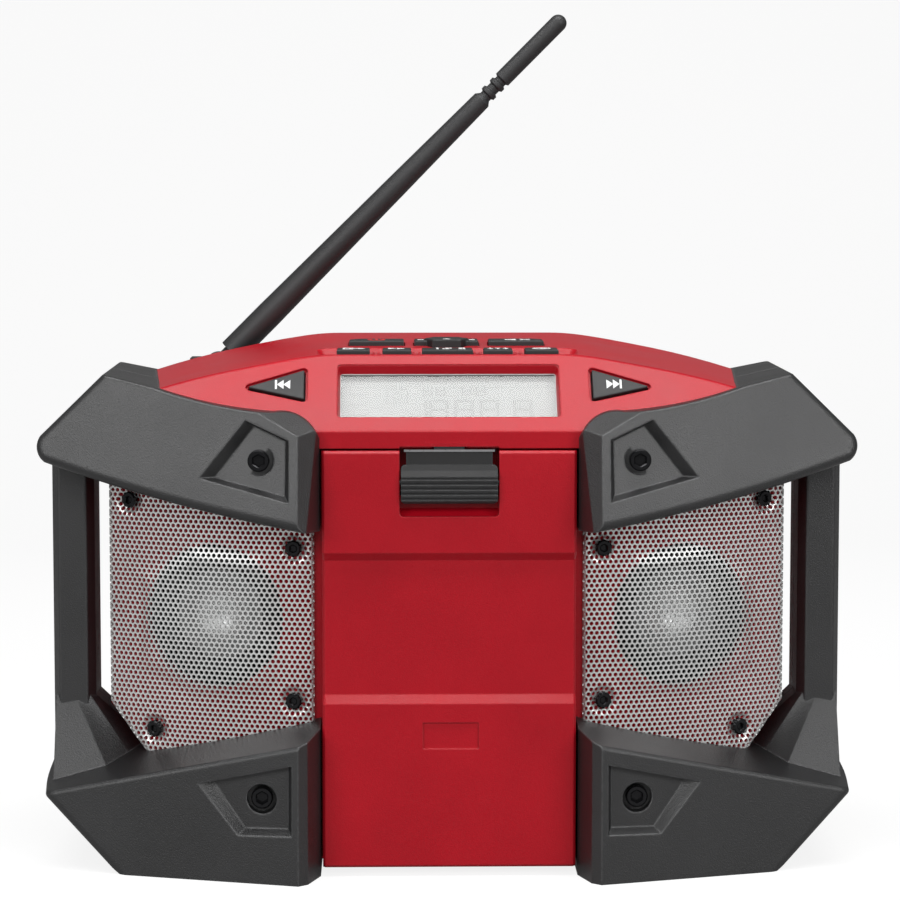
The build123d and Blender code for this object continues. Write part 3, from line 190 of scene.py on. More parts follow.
def noise_of_size(
    graph: Graph, given: Node, size: str, detail: float, roughness: float = 0.5
) -> Socket:
    """Add a noise whose lumps are as large as one of the group's inputs says.

    Args:
        graph: The group's graph.
        given: The group's input node.
        size: The input that holds the size of the lumps.
        detail: How many finer layers the noise has.
        roughness: How strong the finer layers are.

    Returns:
        The noise's socket.
    """
    place = graph.add("ShaderNodeVectorMath", {"operation": "SCALE"}, Vector=given.outputs["Vector"])
    graph.put(place.inputs["Scale"], graph.maths("DIVIDE", 1.0, given.outputs[size]))
    settings = {"Vector": place.outputs[0], "Scale": 1.0, "Detail": detail, "Roughness": roughness}
    return graph.add("ShaderNodeTexNoise", None, **settings).outputs[0]


def moulded_grain_group() -> bpy.types.NodeTree:
    """Spark-eroded texture of moulded plastic: a fine pebbled height and a slow wander of tone.

    Returns:
        The finished group.
    """
    graph, given, result = new_group("Moulded grain", {"Size": 0.0004, "Patch": 0.03}, ("Height", "Tone"))
    pebbles = noise_of_size(graph, given, "Size", detail=3.0, roughness=0.6)
    wander = noise_of_size(graph, given, "Patch", detail=4.0, roughness=0.55)
    speckle = graph.maths("MULTIPLY", graph.maths("SUBTRACT", pebbles, 0.5), SPECKLE_SHARE)
    graph.put(result.inputs["Height"], pebbles)
    graph.put(result.inputs["Tone"], graph.maths("ADD", wander, speckle))
    return graph.tree


def worn_edge_highlight_group() -> bpy.types.NodeTree:
    """Where an outer edge is painted lighter, partly as worn plastic and partly as a painted highlight: the
    rounded normal turned away from the flat one, broken up.

    Returns:
        The finished group.
    """
    graph, given, result = new_group("Edge wear", {"Radius": 0.0006, "Breakup": 0.002}, ("Mask",))
    rounded = graph.add("ShaderNodeBevel", {"samples": 4}, Radius=given.outputs["Radius"])
    flat = graph.add("ShaderNodeNewGeometry")
    agree = graph.add("ShaderNodeVectorMath", {"operation": "DOT_PRODUCT"})
    graph.put(agree.inputs[0], rounded.outputs[0])
    graph.put(agree.inputs[1], flat.outputs["Normal"])
    turned = graph.ranged(agree.outputs["Value"], *WORN_EDGE_HIGHLIGHT_TURN, 1.0, 0.0)
    patches = noise_of_size(graph, given, "Breakup", detail=2.0)
    patchy = graph.ranged(patches, *WORN_EDGE_HIGHLIGHT_PATCHES, LEAST_WORN_EDGE_HIGHLIGHT, 1.0)
    graph.put(result.inputs["Mask"], graph.maths("MULTIPLY", turned, patchy))
    return graph.tree


@dataclass(frozen=True)
class Groups:
    """The shader node groups that the finishes share."""

    grain: bpy.types.NodeTree
    # Paints outer edges lighter: partly worn plastic, partly a painted highlight.
    worn_edge_highlight: bpy.types.NodeTree


def new_material(name: str) -> tuple[bpy.types.Material, Graph, Node]:
    """Start a material that has one Principled shader.

    Args:
        name: The material's name.

    Returns:
        The material, its graph and the shader.
    """
    material = bpy.data.materials.new(name)
    material.use_nodes = True
    graph = Graph(material.node_tree)
    return material, graph, material.node_tree.nodes["Principled BSDF"]


def lay_grain(
    graph: Graph, shader: Node, groups: Groups, size: float, roughness: Point
) -> Node:
    """Lay the moulded grain over a material and let it vary how rough that is.

    Args:
        graph: The material's graph.
        shader: The material's shader.
        groups: The shared node groups.
        size: Size of the grain.
        roughness: The least and the greatest roughness.

    Returns:
        The grain's node.
    """
    grain = graph.add("ShaderNodeGroup", {"node_tree": groups.grain}, Vector=graph.place(), Size=size)
    graph.put(shader.inputs["Roughness"], graph.ranged(grain.outputs["Tone"], *SHEEN_SPAN, *roughness))
    return grain


def raise_grain(
    graph: Graph, shader: Node, grain: Node, strength: float, depth: float
) -> Node:
    """Let the grain stand up from the surface.

    Args:
        graph: The material's graph.
        shader: The material's shader.
        grain: The grain's node.
        strength: How much of the grain is felt.
        depth: How deep the grain is, in metres.

    Returns:
        The bump's node.
    """
    bump = graph.add("ShaderNodeBump", None, Strength=strength, Distance=depth)
    graph.put(bump.inputs["Height"], grain.outputs["Height"])
    graph.put(shader.inputs["Normal"], bump.outputs[0])
    return bump


@dataclass(frozen=True)
class MouldedFinish:
    """Moulded plastic or rubber: its colour, the grain of the mould, and its edges, which are rounded in the
    shading and painted lighter, partly as worn plastic and partly as a painted highlight.
    """

    name: str
    colour: Colour
    worn_edge_highlight_colour: Colour
    roughness: float
    grain: float = 0.0004
    depth: float = 0.00004
    tone_swing: float = 0.12
    edge: float = 0.0006
    specular: float = 0.5
    rough_swing: float = 0.05

    def build(self, groups: Groups) -> bpy.types.Material:
        """Make the material.

        Args:
            groups: The shared node groups.

        Returns:
            The finished material.
        """
        material, graph, shader = new_material(self.name)
        roughness = (self.roughness - self.rough_swing, self.roughness + self.rough_swing)
        grain = lay_grain(graph, shader, groups, self.grain, roughness)
        worn_edge_highlight = graph.add("ShaderNodeGroup", {"node_tree": groups.worn_edge_highlight}, Radius=self.edge)
        graph.put(worn_edge_highlight.inputs["Vector"], graph.place())
        deep = tuple(value * (1 - self.tone_swing) for value in self.colour)
        light = tuple(min(value * (1 + self.tone_swing), 255.0) for value in self.colour)
        tone = graph.ranged(grain.outputs["Tone"], *TONE_SPAN, 0.0, 1.0)
        body = graph.mix(tone, linear(*deep), linear(*light))
        # Edges are painted lighter here: partly worn plastic, partly a painted highlight where rounded edges
        # catch the light.
        graph.put(shader.inputs["Base Color"], graph.mix(worn_edge_highlight.outputs["Mask"], body, linear(*self.worn_edge_highlight_colour)))
        shader.inputs["Specular IOR Level"].default_value = self.specular
        soft_edges = graph.add("ShaderNodeBevel", {"samples": 6}, Radius=self.edge)
        bump = raise_grain(graph, shader, grain, 1.0, self.depth)
        graph.put(bump.inputs["Normal"], soft_edges.outputs[0])
        return material


@dataclass(frozen=True)
class MetalFinish:
    """Bare or coated metal with a fine uneven sheen."""

    name: str
    colour: Colour
    roughness: float
    metallic: float = 1.0
    streak: float = 0.0015
    depth: float = 0.00001
    rough_swing: Point = (0.06, 0.08)
    dull_share: float = 0.9
    relief: float = 0.6

    def build(self, groups: Groups) -> bpy.types.Material:
        """Make the material.

        Args:
            groups: The shared node groups.

        Returns:
            The finished material.
        """
        material, graph, shader = new_material(self.name)
        less, more = self.rough_swing
        roughness = (self.roughness - less, self.roughness + more)
        grain = lay_grain(graph, shader, groups, self.streak, roughness)
        dull = tuple(value * self.dull_share for value in self.colour)
        colour = graph.mix(grain.outputs["Tone"], linear(*dull), linear(*self.colour))
        graph.put(shader.inputs["Base Color"], colour)
        shader.inputs["Metallic"].default_value = self.metallic
        raise_grain(graph, shader, grain, self.relief, self.depth)
        return material


@dataclass(frozen=True)
class ClearFinish:
    """Clear window that lets lamp light through to what lies behind it."""

    name: str
    tint: Colour
    roughness: float
    bending: float = 1.45
    smear: float = 0.004

    def build(self, groups: Groups) -> bpy.types.Material:
        """Make the material.

        Args:
            groups: The shared node groups.

        Returns:
            The finished material.
        """
        material, graph, shader = new_material(self.name)
        shader.inputs["Base Color"].default_value = linear(*self.tint)
        shader.inputs["Transmission Weight"].default_value = 1.0
        shader.inputs["IOR"].default_value = self.bending
        lay_grain(graph, shader, groups, self.smear, (self.roughness / 2, self.roughness))
        rays = graph.add("ShaderNodeLightPath")
        open_to_light = graph.maths("MAXIMUM", rays.outputs["Is Shadow Ray"], rays.outputs["Is Diffuse Ray"])
        clear = graph.add("ShaderNodeBsdfTransparent")
        mixed = graph.add("ShaderNodeMixShader", None, i0=open_to_light)
        graph.put(mixed.inputs[1], shader.outputs[0])
        graph.put(mixed.inputs[2], clear.outputs[0])
        graph.put(material.node_tree.nodes["Material Output"].inputs["Surface"], mixed.outputs[0])
        return material


def even(
    name: str, colour: Colour, grain: float = 0.003, swing: float = 0.02, edge: float = 0.0001,
    roughness: float = 0.6,
) -> MouldedFinish:
    """A nearly even finish in one colour, for print and for the display.

    Args:
        name: The finish's name.
        colour: Its colour, also on its edges, so that they get no painted lightening.
        grain: Size of its grain.
        swing: How much its tone wanders.
        edge: How round its edges look.
        roughness: How matt it is.

    Returns:
        The finish.
    """
    return MouldedFinish(name, colour, colour, roughness, grain, 0.00001, swing, edge)


class Finish(Enum):
    """Every finish on the radio."""

    RED = MouldedFinish(
        "Red body plastic", (170, 10, 28), (188, 44, 52), 0.36, 0.00045, 0.00006, 0.04, 0.0006, 0.3
    )
    # The guard's light edge colour is mostly a painted highlight along its ridges, and partly worn plastic.
    GUARD = MouldedFinish(
        "Dark guard plastic", (25, 25, 26), (88, 89, 90), 0.40, 0.0005, 0.00012, 0.12, 0.001, 0.75
    )
    BLACK = MouldedFinish("Satin black plastic", (22, 22, 23), (60, 61, 62), 0.42)
    RUBBER = MouldedFinish("Button rubber", (26, 26, 27), (66, 67, 68), 0.52, 0.0003, 0.00004, 0.10, 0.0005)
    WHIP = MouldedFinish("Antenna sleeve", (36, 36, 37), (62, 62, 64), 0.5, 0.0003, 0.00003, 0.08, 0.0004)
    FOAM = MouldedFinish("Soft foam", (34, 34, 35), (40, 40, 41), 0.9, 0.0009, 0.0002, 0.2, 0.0004, 0.1)
    CONE = MouldedFinish(
        "Coated cone paper", (150, 151, 151), (160, 161, 161), 0.5, 0.0006, 0.00006, 0.06, 0.0004
    )
    BOARD = MouldedFinish("Board laminate", (22, 82, 48), (80, 130, 90), 0.45, 0.002, 0.00002, 0.1, 0.0003)
    DISPLAY = even("Display backing", (144, 146, 145), swing=0.015, edge=0.0002)
    SEGMENT = even("Unlit segments", (126, 128, 127), swing=0.01)
    # Painted shade: two darker strips where the frame's top edge shades the display.
    FAR_PAINTED_SHADE = even("Deep shade", (118, 120, 119))
    NEAR_PAINTED_SHADE = even("Soft shade", (138, 140, 139))
    # Painted highlight: the light line where the window's bevel catches the light.
    RIM = even("Painted rim highlight", (190, 192, 191), 0.002, roughness=0.4)
    WHITE_MARK = even("White print", (228, 229, 228), 0.0006)
    RED_MARK = even("Red print", (214, 46, 44), 0.0006)
    FERRITE = MouldedFinish("Ferrite", (52, 52, 54), (70, 70, 72), 0.5, 0.0008, 0.00005, 0.12)
    GRILLE = MetalFinish("Perforated sheet", (230, 231, 230), 0.38, 0.65)
    CAP = MetalFinish("Bright dust cap", (250, 251, 251), 0.36, 0.9, 0.006, 0.000002)
    STEEL = MetalFinish("Bright steel", (190, 190, 192), 0.3)
    OXIDE = MetalFinish("Black oxide", (36, 36, 38), 0.2, 0.7)
    ENAMEL = MetalFinish("Black enamel", (28, 28, 29), 0.4, 0.2)
    BRASS = MetalFinish("Plated contact", (212, 176, 96), 0.28)
    LENS = ClearFinish("Display window", (250, 252, 251), 0.03)


class Paints:
    """Makes each finish once and puts it on pieces."""

    def __init__(self) -> None:
        """Build the shared node groups."""
        self.groups = Groups(moulded_grain_group(), worn_edge_highlight_group())
        self.made: dict[Finish, bpy.types.Material] = {}

    def material(self, finish: Finish) -> bpy.types.Material:
        """The material of a finish, made when it is first asked for.

        Args:
            finish: The finish.

        Returns:
            Its material.
        """
        if finish not in self.made:
            self.made[finish] = finish.value.build(self.groups)
        return self.made[finish]

    def dress(self, piece: Piece, finish: Finish) -> None:
        """Give a piece one finish all over.

        Args:
            piece: The piece.
            finish: Its finish.
        """
        slots = piece.data.materials
        if len(slots) == 0:
            slots.append(self.material(finish))
        for index in range(len(slots)):
            slots[index] = self.material(finish)

    def fit(self, piece: Piece, finish: Finish, body: str, node: str = "") -> None:
        """Give a piece its finish and tie it to the frame.

        Args:
            piece: The piece.
            finish: Its finish.
            body: The body that it moves with.
            node: The frame's node whose place it takes, if any.
        """
        self.dress(piece, finish)
        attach(piece, body)
        if node:
            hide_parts(node)
        LOG.info("made %s", piece.name)


# ---------------------------------------------------------------------------
# Mesh helpers


def new_piece(name: str, mesh: Mesh, sharp: float = 35.0) -> Piece:
    """Turn a bmesh drawn in millimetres into an object in metres.

    Args:
        name: The piece's name.
        mesh: The finished bmesh, which is freed.
        sharp: Edges that turn by more than this many degrees stay sharp.

    Returns:
        The new object.
    """
    data = bpy.data.meshes.new(name)
    bmesh.ops.recalc_face_normals(mesh, faces=mesh.faces)
    bmesh.ops.scale(mesh, vec=(MM, MM, MM), verts=mesh.verts)
    for face in mesh.faces:
        face.smooth = True
    for edge in mesh.edges:
        if len(edge.link_faces) == 2 and edge.calc_face_angle(0.0) > math.radians(sharp):
            edge.smooth = False
    mesh.to_mesh(data)
    mesh.free()
    piece = bpy.data.objects.new(name, data)
    bpy.context.scene.collection.objects.link(piece)
    return piece


def lathe(profile: Outline, steps: int) -> Mesh:
    """Turn an outline round the Y axis.

    Args:
        profile: Points as (radius, y), from one end of the outline to the other.
        steps: How many slices the full turn has.

    Returns:
        A bmesh of the turned skin.
    """
    mesh = bmesh.new()
    rings: list[list[bmesh.types.BMVert]] = []
    for radius, y in profile:
        if radius == 0:
            rings.append([mesh.verts.new((0, y, 0))])
            continue
        turns = [math.tau * index / steps for index in range(steps)]
        rings.append([mesh.verts.new((radius * math.cos(t), y, radius * math.sin(t))) for t in turns])
    for inner, outer in zip(rings, rings[1:]):
        for index in range(steps):
            after = (index + 1) % steps
            corners = (inner[index % len(inner)], outer[index % len(outer)])
            corners += (outer[after % len(outer)], inner[after % len(inner)])
            unique = list(dict.fromkeys(corners))
            if len(unique) > 2:
                mesh.faces.new(unique)
    return mesh


@dataclass(frozen=True)
class Panel:
    """A flat place on the radio: where its middle is, and which ways are right and up on it."""

    origin: Vector
    right: Vector = Vector((1, 0, 0))
    up: Vector = Vector((0, 1, 0))

    @property
    def out(self) -> Vector:
        """Which way the panel faces."""
        return self.right.cross(self.up).normalized()

    def at(self, across: float, along: float, height: float = 0.0) -> Vector:
        """The point at a place on the panel, or above it."""
        return self.origin + self.right * across + self.up * along + self.out * height


def bridge(
    mesh: Mesh, first: Sequence[bmesh.types.BMVert], second: Sequence[bmesh.types.BMVert]
) -> None:
    """Join two loops of equally many points with a band of faces.

    Args:
        mesh: The bmesh that the band goes into.
        first, second: The two loops, once round each.
    """
    for index in range(len(first)):
        after = (index + 1) % len(first)
        mesh.faces.new((first[index], first[after], second[after], second[index]))


def add_plate(mesh: Mesh, panel: Panel, outline: Outline, low: float, high: float) -> None:
    """Add one thin plate to a bmesh.

    Args:
        mesh: The bmesh that the plate goes into.
        panel: Where the plate lies.
        outline: Its corners on the panel.
        low: Height of its underside.
        high: Height of its upper face.
    """
    under = [mesh.verts.new(panel.at(x, y, low)) for x, y in outline]
    over = [mesh.verts.new(panel.at(x, y, high)) for x, y in outline]
    mesh.faces.new(over)
    mesh.faces.new(list(reversed(under)))
    bridge(mesh, under, over)


def bar(low: Point, high: Point) -> list[Point]:
    """Corners of an upright rectangle between two opposite corners."""
    return [low, (high[0], low[1]), high, (low[0], high[1])]


def hollow_bar(low: Point, high: Point, line: float) -> list[list[Point]]:
    """The four bars that run round an upright rectangle.

    Args:
        low, high: Two opposite corners of the rectangle.
        line: How wide each bar is.

    Returns:
        One outline for each bar.
    """
    (left, foot), (right, head) = low, high
    return [
        bar(low, (right, foot + line)),
        bar((left, head - line), high),
        bar((left, foot + line), (left + line, head - line)),
        bar((right - line, foot + line), (right, head - line)),
    ]


def arc(centre: Point, radius: float, start: float, end: float, steps: int) -> list[Point]:
    """Points along an arc, from one angle in degrees to another."""
    angles = [math.radians(start + (end - start) * step / steps) for step in range(steps + 1)]
    return [(centre[0] + radius * math.cos(a), centre[1] + radius * math.sin(a)) for a in angles]


def rounded(low: Point, high: Point, radius: float, steps: int = 6) -> list[Point]:
    """Outline of an upright rectangle with rounded corners.

    Args:
        low, high: Two opposite corners.
        radius: How round the corners are.
        steps: How many slices each corner has.

    Returns:
        The outline, once round.
    """
    left, foot = low[0] + radius, low[1] + radius
    right, head = high[0] - radius, high[1] - radius
    outline: list[Point] = []
    for centre, start in (((right, head), 0), ((left, head), 90), ((left, foot), 180), ((right, foot), 270)):
        outline += arc(centre, radius, start, start + 90, steps)
    return outline


def ring_sector(centre: Point, inner: float, outer: float, start: float, end: float) -> list[Point]:
    """Corners of a bent bar.

    Args:
        centre: Middle of the arc.
        inner, outer: Its two radii.
        start, end: Its ends, in degrees.

    Returns:
        The outline, once round.
    """
    steps = max(2, round(abs(end - start) / 15))
    return arc(centre, outer, start, end, steps) + arc(centre, inner, start, end, steps)[::-1]


def digit(figure: str, low: Point, width: float, height: float, stroke: float) -> list[list[Point]]:
    """The bars of a seven-bar figure.

    Args:
        figure: One of the figures 0 to 9.
        low: Its lower left corner.
        width, height: Its size.
        stroke: How wide each bar is.

    Returns:
        One outline for each bar.
    """
    lit = {"0": "abcdef", "1": "bc", "2": "abged", "3": "abgcd", "4": "fgbc", "5": "afgcd", "6": "afgecd",
           "7": "abc", "8": "abcdefg", "9": "abcdfg"}[figure]
    slit = stroke * 0.18
    x, z = low
    middle = z + height / 2
    lying = {"d": z, "g": middle - stroke / 2, "a": z + height - stroke}
    standing = {"e": (x, z, middle), "c": (x + width - stroke, z, middle), "f": (x, middle, z + height),
                "b": (x + width - stroke, middle, z + height)}
    bars = [
        bar((x + stroke + slit, level), (x + width - stroke - slit, level + stroke))
        for name, level in lying.items() if name in lit
    ]
    bars += [
        bar((left, bottom + slit), (left + stroke, top - slit))
        for name, (left, bottom, top) in standing.items() if name in lit
    ]
    return bars


def smooth_step(value: float) -> float:
    """Ease from 0 to 1 as the value goes from 0 to 1, and hold outside that."""
    held = min(max(value, 0.0), 1.0)
    return held * held * (3 - 2 * held)


def inset_outline(outline: Outline, amount: float) -> list[Point]:
    """Draw a convex outline in on all sides.

    Args:
        outline: Its corners, clockwise.
        amount: How far each side moves in.

    Returns:
        The corners of the smaller outline.
    """
    sides = []
    for (x, z), (next_x, next_z) in zip(outline, [*outline[1:], outline[0]]):
        length = math.hypot(next_x - x, next_z - z)
        inward = ((next_z - z) / length, (x - next_x) / length)
        sides.append((inward, inward[0] * x + inward[1] * z + amount))
    corners = []
    for (first, reach), (second, next_reach) in zip([sides[-1], *sides[:-1]], sides):
        spread = first[0] * second[1] - first[1] * second[0]
        x = (reach * second[1] - next_reach * first[1]) / spread
        corners.append((x, (next_reach * first[0] - reach * second[0]) / spread))
    return corners


def beyond(outline: Outline, point: Point) -> tuple[float, Point]:
    """Measure a point against a convex outline.

    Args:
        outline: Its corners, clockwise.
        point: The point.

    Returns:
        The distance to the outline, below zero inside it, and the nearest place on the outline.
    """
    best, foot, inside = math.inf, point, True
    for (x, z), (next_x, next_z) in zip(outline, [*outline[1:], outline[0]]):
        run, rise = next_x - x, next_z - z
        share = ((point[0] - x) * run + (point[1] - z) * rise) / (run * run + rise * rise)
        share = min(max(share, 0.0), 1.0)
        near = (x + run * share, z + rise * share)
        distance = math.dist(near, point)
        if distance < best:
            best, foot = distance, near
        inside = inside and rise * (point[0] - x) - run * (point[1] - z) > 0
    return (-best if inside else best), foot


def reliefs(
    name: str, panel: Panel, outlines: Iterable[Outline], low: float, high: float
) -> Piece:
    """Make one piece of several thin plates on a panel.

    Args:
        name: The piece's name.
        panel: Where the plates lie.
        outlines: One outline for each plate.
        low, high: Heights of their undersides and upper faces.

    Returns:
        The new piece.
    """
    mesh = bmesh.new()
    for outline in outlines:
        add_plate(mesh, panel, outline, low, high)
    return new_piece(name, mesh)


# ---------------------------------------------------------------------------
# Sub-assemblies


class Side(Enum):
    """The two sides of the radio, with the sign of X on each."""

    LEFT = -1
    RIGHT = 1

    @property
    def word(self) -> str:
        """The side's name as the frame's nodes begin."""
        return self.name.lower()


@dataclass(frozen=True)
class SpeakerFront:
    """The wide upright curve that a speaker front lies on, drawn for the left side."""

    centre_x: float = -16.4
    centre_y: float = 168.3
    radius: float = 205.3

    def around(self, x: float) -> float:
        """How far round the curve a place at x lies."""
        return self.radius * math.asin((self.centre_x - x) / self.radius)

    def at(self, around: float, z: float, height: float) -> Vector:
        """The point at a place round the curve, or in front of it.

        Args:
            around: How far round the curve it lies.
            z: Its height over the ground.
            height: How far it stands in front of the curve.

        Returns:
            The point, in millimetres.
        """
        turn = around / self.radius
        reach = self.radius + height
        return Vector((self.centre_x - reach * math.sin(turn), self.centre_y - reach * math.cos(turn), z))

    def unroll(self, outline: Outline) -> list[Point]:
        """The outline with its x turned into distance round the curve."""
        return [(self.around(x), z) for x, z in outline]


@dataclass
class Grille:
    """Perforated sheet over a speaker front, with rolled edges, a raised pad and sunken screw seats."""

    side: Side
    front: SpeakerFront = SpeakerFront()
    outline: Outline = (
        (-115.1, 131.5), (-115.1, 53.3), (-103.5, 38.1), (-98.6, 32.9), (-45, 45), (-45, 119.5)
    )
    pad: Outline = (
        (-57.2, 65.5), (-57.2, 100.6), (-62.3, 105.4), (-84.9, 107.6),
        (-102.9, 97.5), (-102.9, 66.9), (-84.9, 58.0), (-62.3, 60.2),
    )
    screws: Outline = ((-107.5, 123.4), (-51.7, 108.9), (-51.8, 57.2), (-99.3, 45.2))
    pitch: float = 1.85
    hole_radius: float = 0.7
    hole_sides: int = 12
    rise: float = 2.0
    sheet: float = 0.8
    roll: float = 1.2
    straight: float = 0.5
    pad_rise: float = 0.6
    pad_slope: Point = (-4.0, 2.0)
    seat_depth: float = 1.2
    seat_radii: Point = (3.0, 5.2)
    sharp: float = 50.0
    pairs: dict[tuple, tuple] = field(default_factory=dict)
    loose: dict[frozenset, tuple] = field(default_factory=dict)

    def __post_init__(self) -> None:
        """Lay the outlines out flat."""
        self.flat = inset_outline(self.front.unroll(self.outline), self.roll)
        self.flat_pad = self.front.unroll(self.pad)
        self.flat_screws = self.front.unroll(self.screws)
        self.quarter = self.roll * math.pi / 2
        self.reach = self.quarter + self.straight

    def relief(self, spot: Point) -> float:
        """How far the sheet stands out or in at a flat place.

        Args:
            spot: The place, as distance round the curve and height.

        Returns:
            The distance, above zero where the sheet stands out.
        """
        inner, outer = self.pad_slope
        height = self.pad_rise * smooth_step((outer - beyond(self.flat_pad, spot)[0]) / (outer - inner))
        near, far = self.seat_radii
        for screw in self.flat_screws:
            away = math.dist(screw, spot)
            if away < far:
                height -= self.seat_depth * (1 - smooth_step((away - near) / (far - near)))
        return height

    def formed(self, spot: Point, thickness: float) -> Vector:
        """Where a flat place lies once the sheet is pressed.

        Args:
            spot: The place, as distance round the curve and height.
            thickness: 0 for the front skin, or the sheet's thickness for the back skin.

        Returns:
            The point, in millimetres.
        """
        distance, foot = beyond(self.flat, spot)
        height = self.rise - thickness
        if distance <= 0:
            height += self.relief(spot)
        else:
            bend = min(distance, self.quarter) / self.roll
            radius = self.roll - thickness
            out = radius * math.sin(bend) / distance
            spot = (foot[0] + (spot[0] - foot[0]) * out, foot[1] + (spot[1] - foot[1]) * out)
            height -= radius * (1 - math.cos(bend))
            height -= min(max(distance, self.quarter), self.reach) - self.quarter
        point = self.front.at(*spot, height)
        point.x *= -self.side.value
        return point

    def pair(self, mesh: Mesh, key: tuple, spot: Point) -> tuple:
        """The key of a place, whose front and back points are made when it is first met.

        Args:
            mesh: The sheet's bmesh.
            key: What the place is known by.
            spot: The place, as distance round the curve and height.

        Returns:
            The same key.
        """
        if key not in self.pairs:
            self.pairs[key] = tuple(mesh.verts.new(self.formed(spot, t)) for t in (0.0, self.sheet))
        return key

    def face(self, mesh: Mesh, keys: Sequence[tuple]) -> None:
        """Add one face to both skins, and note the edges that nothing has met yet.

        Args:
            mesh: The sheet's bmesh.
            keys: The keys of its corners, once round.
        """
        mesh.faces.new([self.pairs[key][0] for key in keys])
        mesh.faces.new([self.pairs[key][1] for key in reversed(keys)])
        for first, second in zip(keys, [*keys[1:], keys[0]]):
            edge = frozenset((first, second))
            if self.loose.pop(edge, None) is None:
                self.loose[edge] = (first, second)

    def cell(self, mesh: Mesh, column: int, row: int) -> None:
        """Add one six-sided cell of the sheet, with its hole where there is room for it.

        Args:
            mesh: The sheet's bmesh.
            column, row: The cell's place in the pattern.
        """
        half, third = self.pitch / 2, self.pitch / math.sqrt(12)
        middle = ((2 * column + row % 2) * half, 3 * row * third)
        steps = ((1, 1), (0, 2), (-1, 1), (-1, -1), (0, -2), (1, -1))
        corners = [(2 * column + row % 2 + i, 3 * row + j) for i, j in steps]
        places = [(i * half, j * third) for i, j in corners]
        if all(beyond(self.flat, place)[0] > self.reach for place in places):
            return
        rim = [self.pair(mesh, corner, place) for corner, place in zip(corners, places)]
        turns = [math.tau * step / self.hole_sides for step in range(self.hole_sides)]
        radius = self.hole_radius
        hole = [(middle[0] + radius * math.cos(t), middle[1] + radius * math.sin(t)) for t in turns]
        if any(beyond(self.flat, place)[0] > self.reach for place in (*hole, *places)):
            self.face(mesh, rim)
            return
        inner = [self.pair(mesh, (column, row, step), place) for step, place in enumerate(hole)]
        share = self.hole_sides // 6
        for index in range(6):
            start = share // 2 + share * index
            bend = [inner[(start + step) % self.hole_sides] for step in range(share, -1, -1)]
            self.face(mesh, [rim[index], rim[(index + 1) % 6], *bend])

    def steps(self, axis: int, step: float) -> range:
        """The numbers of the steps that cover the flat sheet along one axis."""
        places = [spot[axis] for spot in self.flat]
        return range(int((min(places) - self.reach) / step) - 1, int((max(places) + self.reach) / step) + 2)

    def build(self, paints: Paints) -> None:
        """Press the whole sheet and put it in the grille's place.

        Args:
            paints: Where the materials come from.
        """
        mesh = bmesh.new()
        for row in self.steps(1, self.pitch * math.sqrt(3) / 2):
            for column in self.steps(0, self.pitch):
                self.cell(mesh, column, row)
        for first, second in self.loose.values():
            front, back = self.pairs[first], self.pairs[second]
            mesh.faces.new((front[0], back[0], back[1], front[1]))
        piece = new_piece(f"{self.side.word}_grille_sheet", mesh, self.sharp)
        paints.fit(piece, Finish.GRILLE, ROOT, f"{self.side.word}_grille")


@dataclass
class Loudspeaker:
    """The moving cone with its rolled rim and bright dust cap, seen through the grille."""

    side: Side
    front: SpeakerFront = SpeakerFront()
    centre: Point = (-79.5, 84.7)
    sunk: float = 5.7
    rim: Point = (21.2, 0.0)
    roll_end: Point = (15.4, 0.4)
    roll_rise: float = 1.5
    neck: Point = (9.4, 3.6)
    cap_depth: float = 3.6
    paper: float = 0.5
    glue_width: float = 0.6
    glue_depth: float = 0.2
    flare: float = 0.85
    cap_lap: float = 0.5
    cap_sink: float = 0.1
    sharp: float = 50.0
    steps: int = 96

    def place(self, piece: Piece) -> None:
        """Turn a piece that was drawn round the Y axis square to the speaker front.

        Args:
            piece: The piece, whose mesh is moved.
        """
        around = self.front.around(self.centre[0])
        spot = self.front.at(around, self.centre[1], -self.sunk)
        turn = self.side.value * around / self.front.radius
        move = Matrix.Translation((-self.side.value * spot.x * MM, spot.y * MM, spot.z * MM))
        piece.data.transform(move @ Matrix.Rotation(turn, 4, "Z"))

    def skin(self, name: str, front: list[Point]) -> Piece:
        """A thin turned piece whose front skin has the given outline.

        Args:
            name: The piece's name, without the side.
            front: Points of the front skin as (radius, y).

        Returns:
            The new piece.
        """
        back = [(radius, y + self.paper) for radius, y in reversed(front)]
        mesh = lathe([*front, *back, front[0]], self.steps)
        return new_piece(f"{self.side.word}_{name}", mesh, self.sharp)

    def rolled_rim(self) -> Piece:
        """The half-round rubber roll that the cone hangs in.

        Returns:
            The new piece.
        """
        (far, deep), (near, shallow) = self.rim, self.roll_end
        points = []
        for step in range(13):
            share = step / 12
            y = deep + (shallow - deep) * share - self.roll_rise * math.sin(math.pi * share)
            points.append((far + (near - far) * share, y))
        return self.skin("rolled_rim", points)

    def cone(self) -> Piece:
        """The paper cone, a shallow horn with a gentle flare.

        Returns:
            The new piece.
        """
        (far, high), (near, low) = self.roll_end, self.neck
        start = far + self.glue_width
        points = []
        for step in range(9):
            share = step / 8
            y = high + self.glue_depth + (low - high) * share**self.flare
            points.append((start + (near - start) * share, y))
        return self.skin("cone_paper", points)

    def cap(self) -> Piece:
        """The dished dust cap glued into the cone.

        Returns:
            The new piece.
        """
        radius, foot = self.neck[0] + self.cap_lap, self.neck[1] - self.cap_sink
        shares = [step / 10 for step in range(10, -1, -1)]
        return self.skin("dust_cap", [(radius * t, foot + self.cap_depth * (1 - t * t)) for t in shares])

    def build(self, paints: Paints) -> None:
        """Make the moving pieces and let them travel together.

        Args:
            paints: Where the materials come from.
        """
        for piece, finish, slot, node in (
            (self.cone(), Finish.CONE, "cone_paper", f"{self.side.word}_speaker_cone"),
            (self.rolled_rim(), Finish.RUBBER, "rubber", ""),
            (self.cap(), Finish.CAP, "plain_steel", ""),
        ):
            self.place(piece)
            paints.fit(piece, finish, f"{self.side.word}_cone", node)


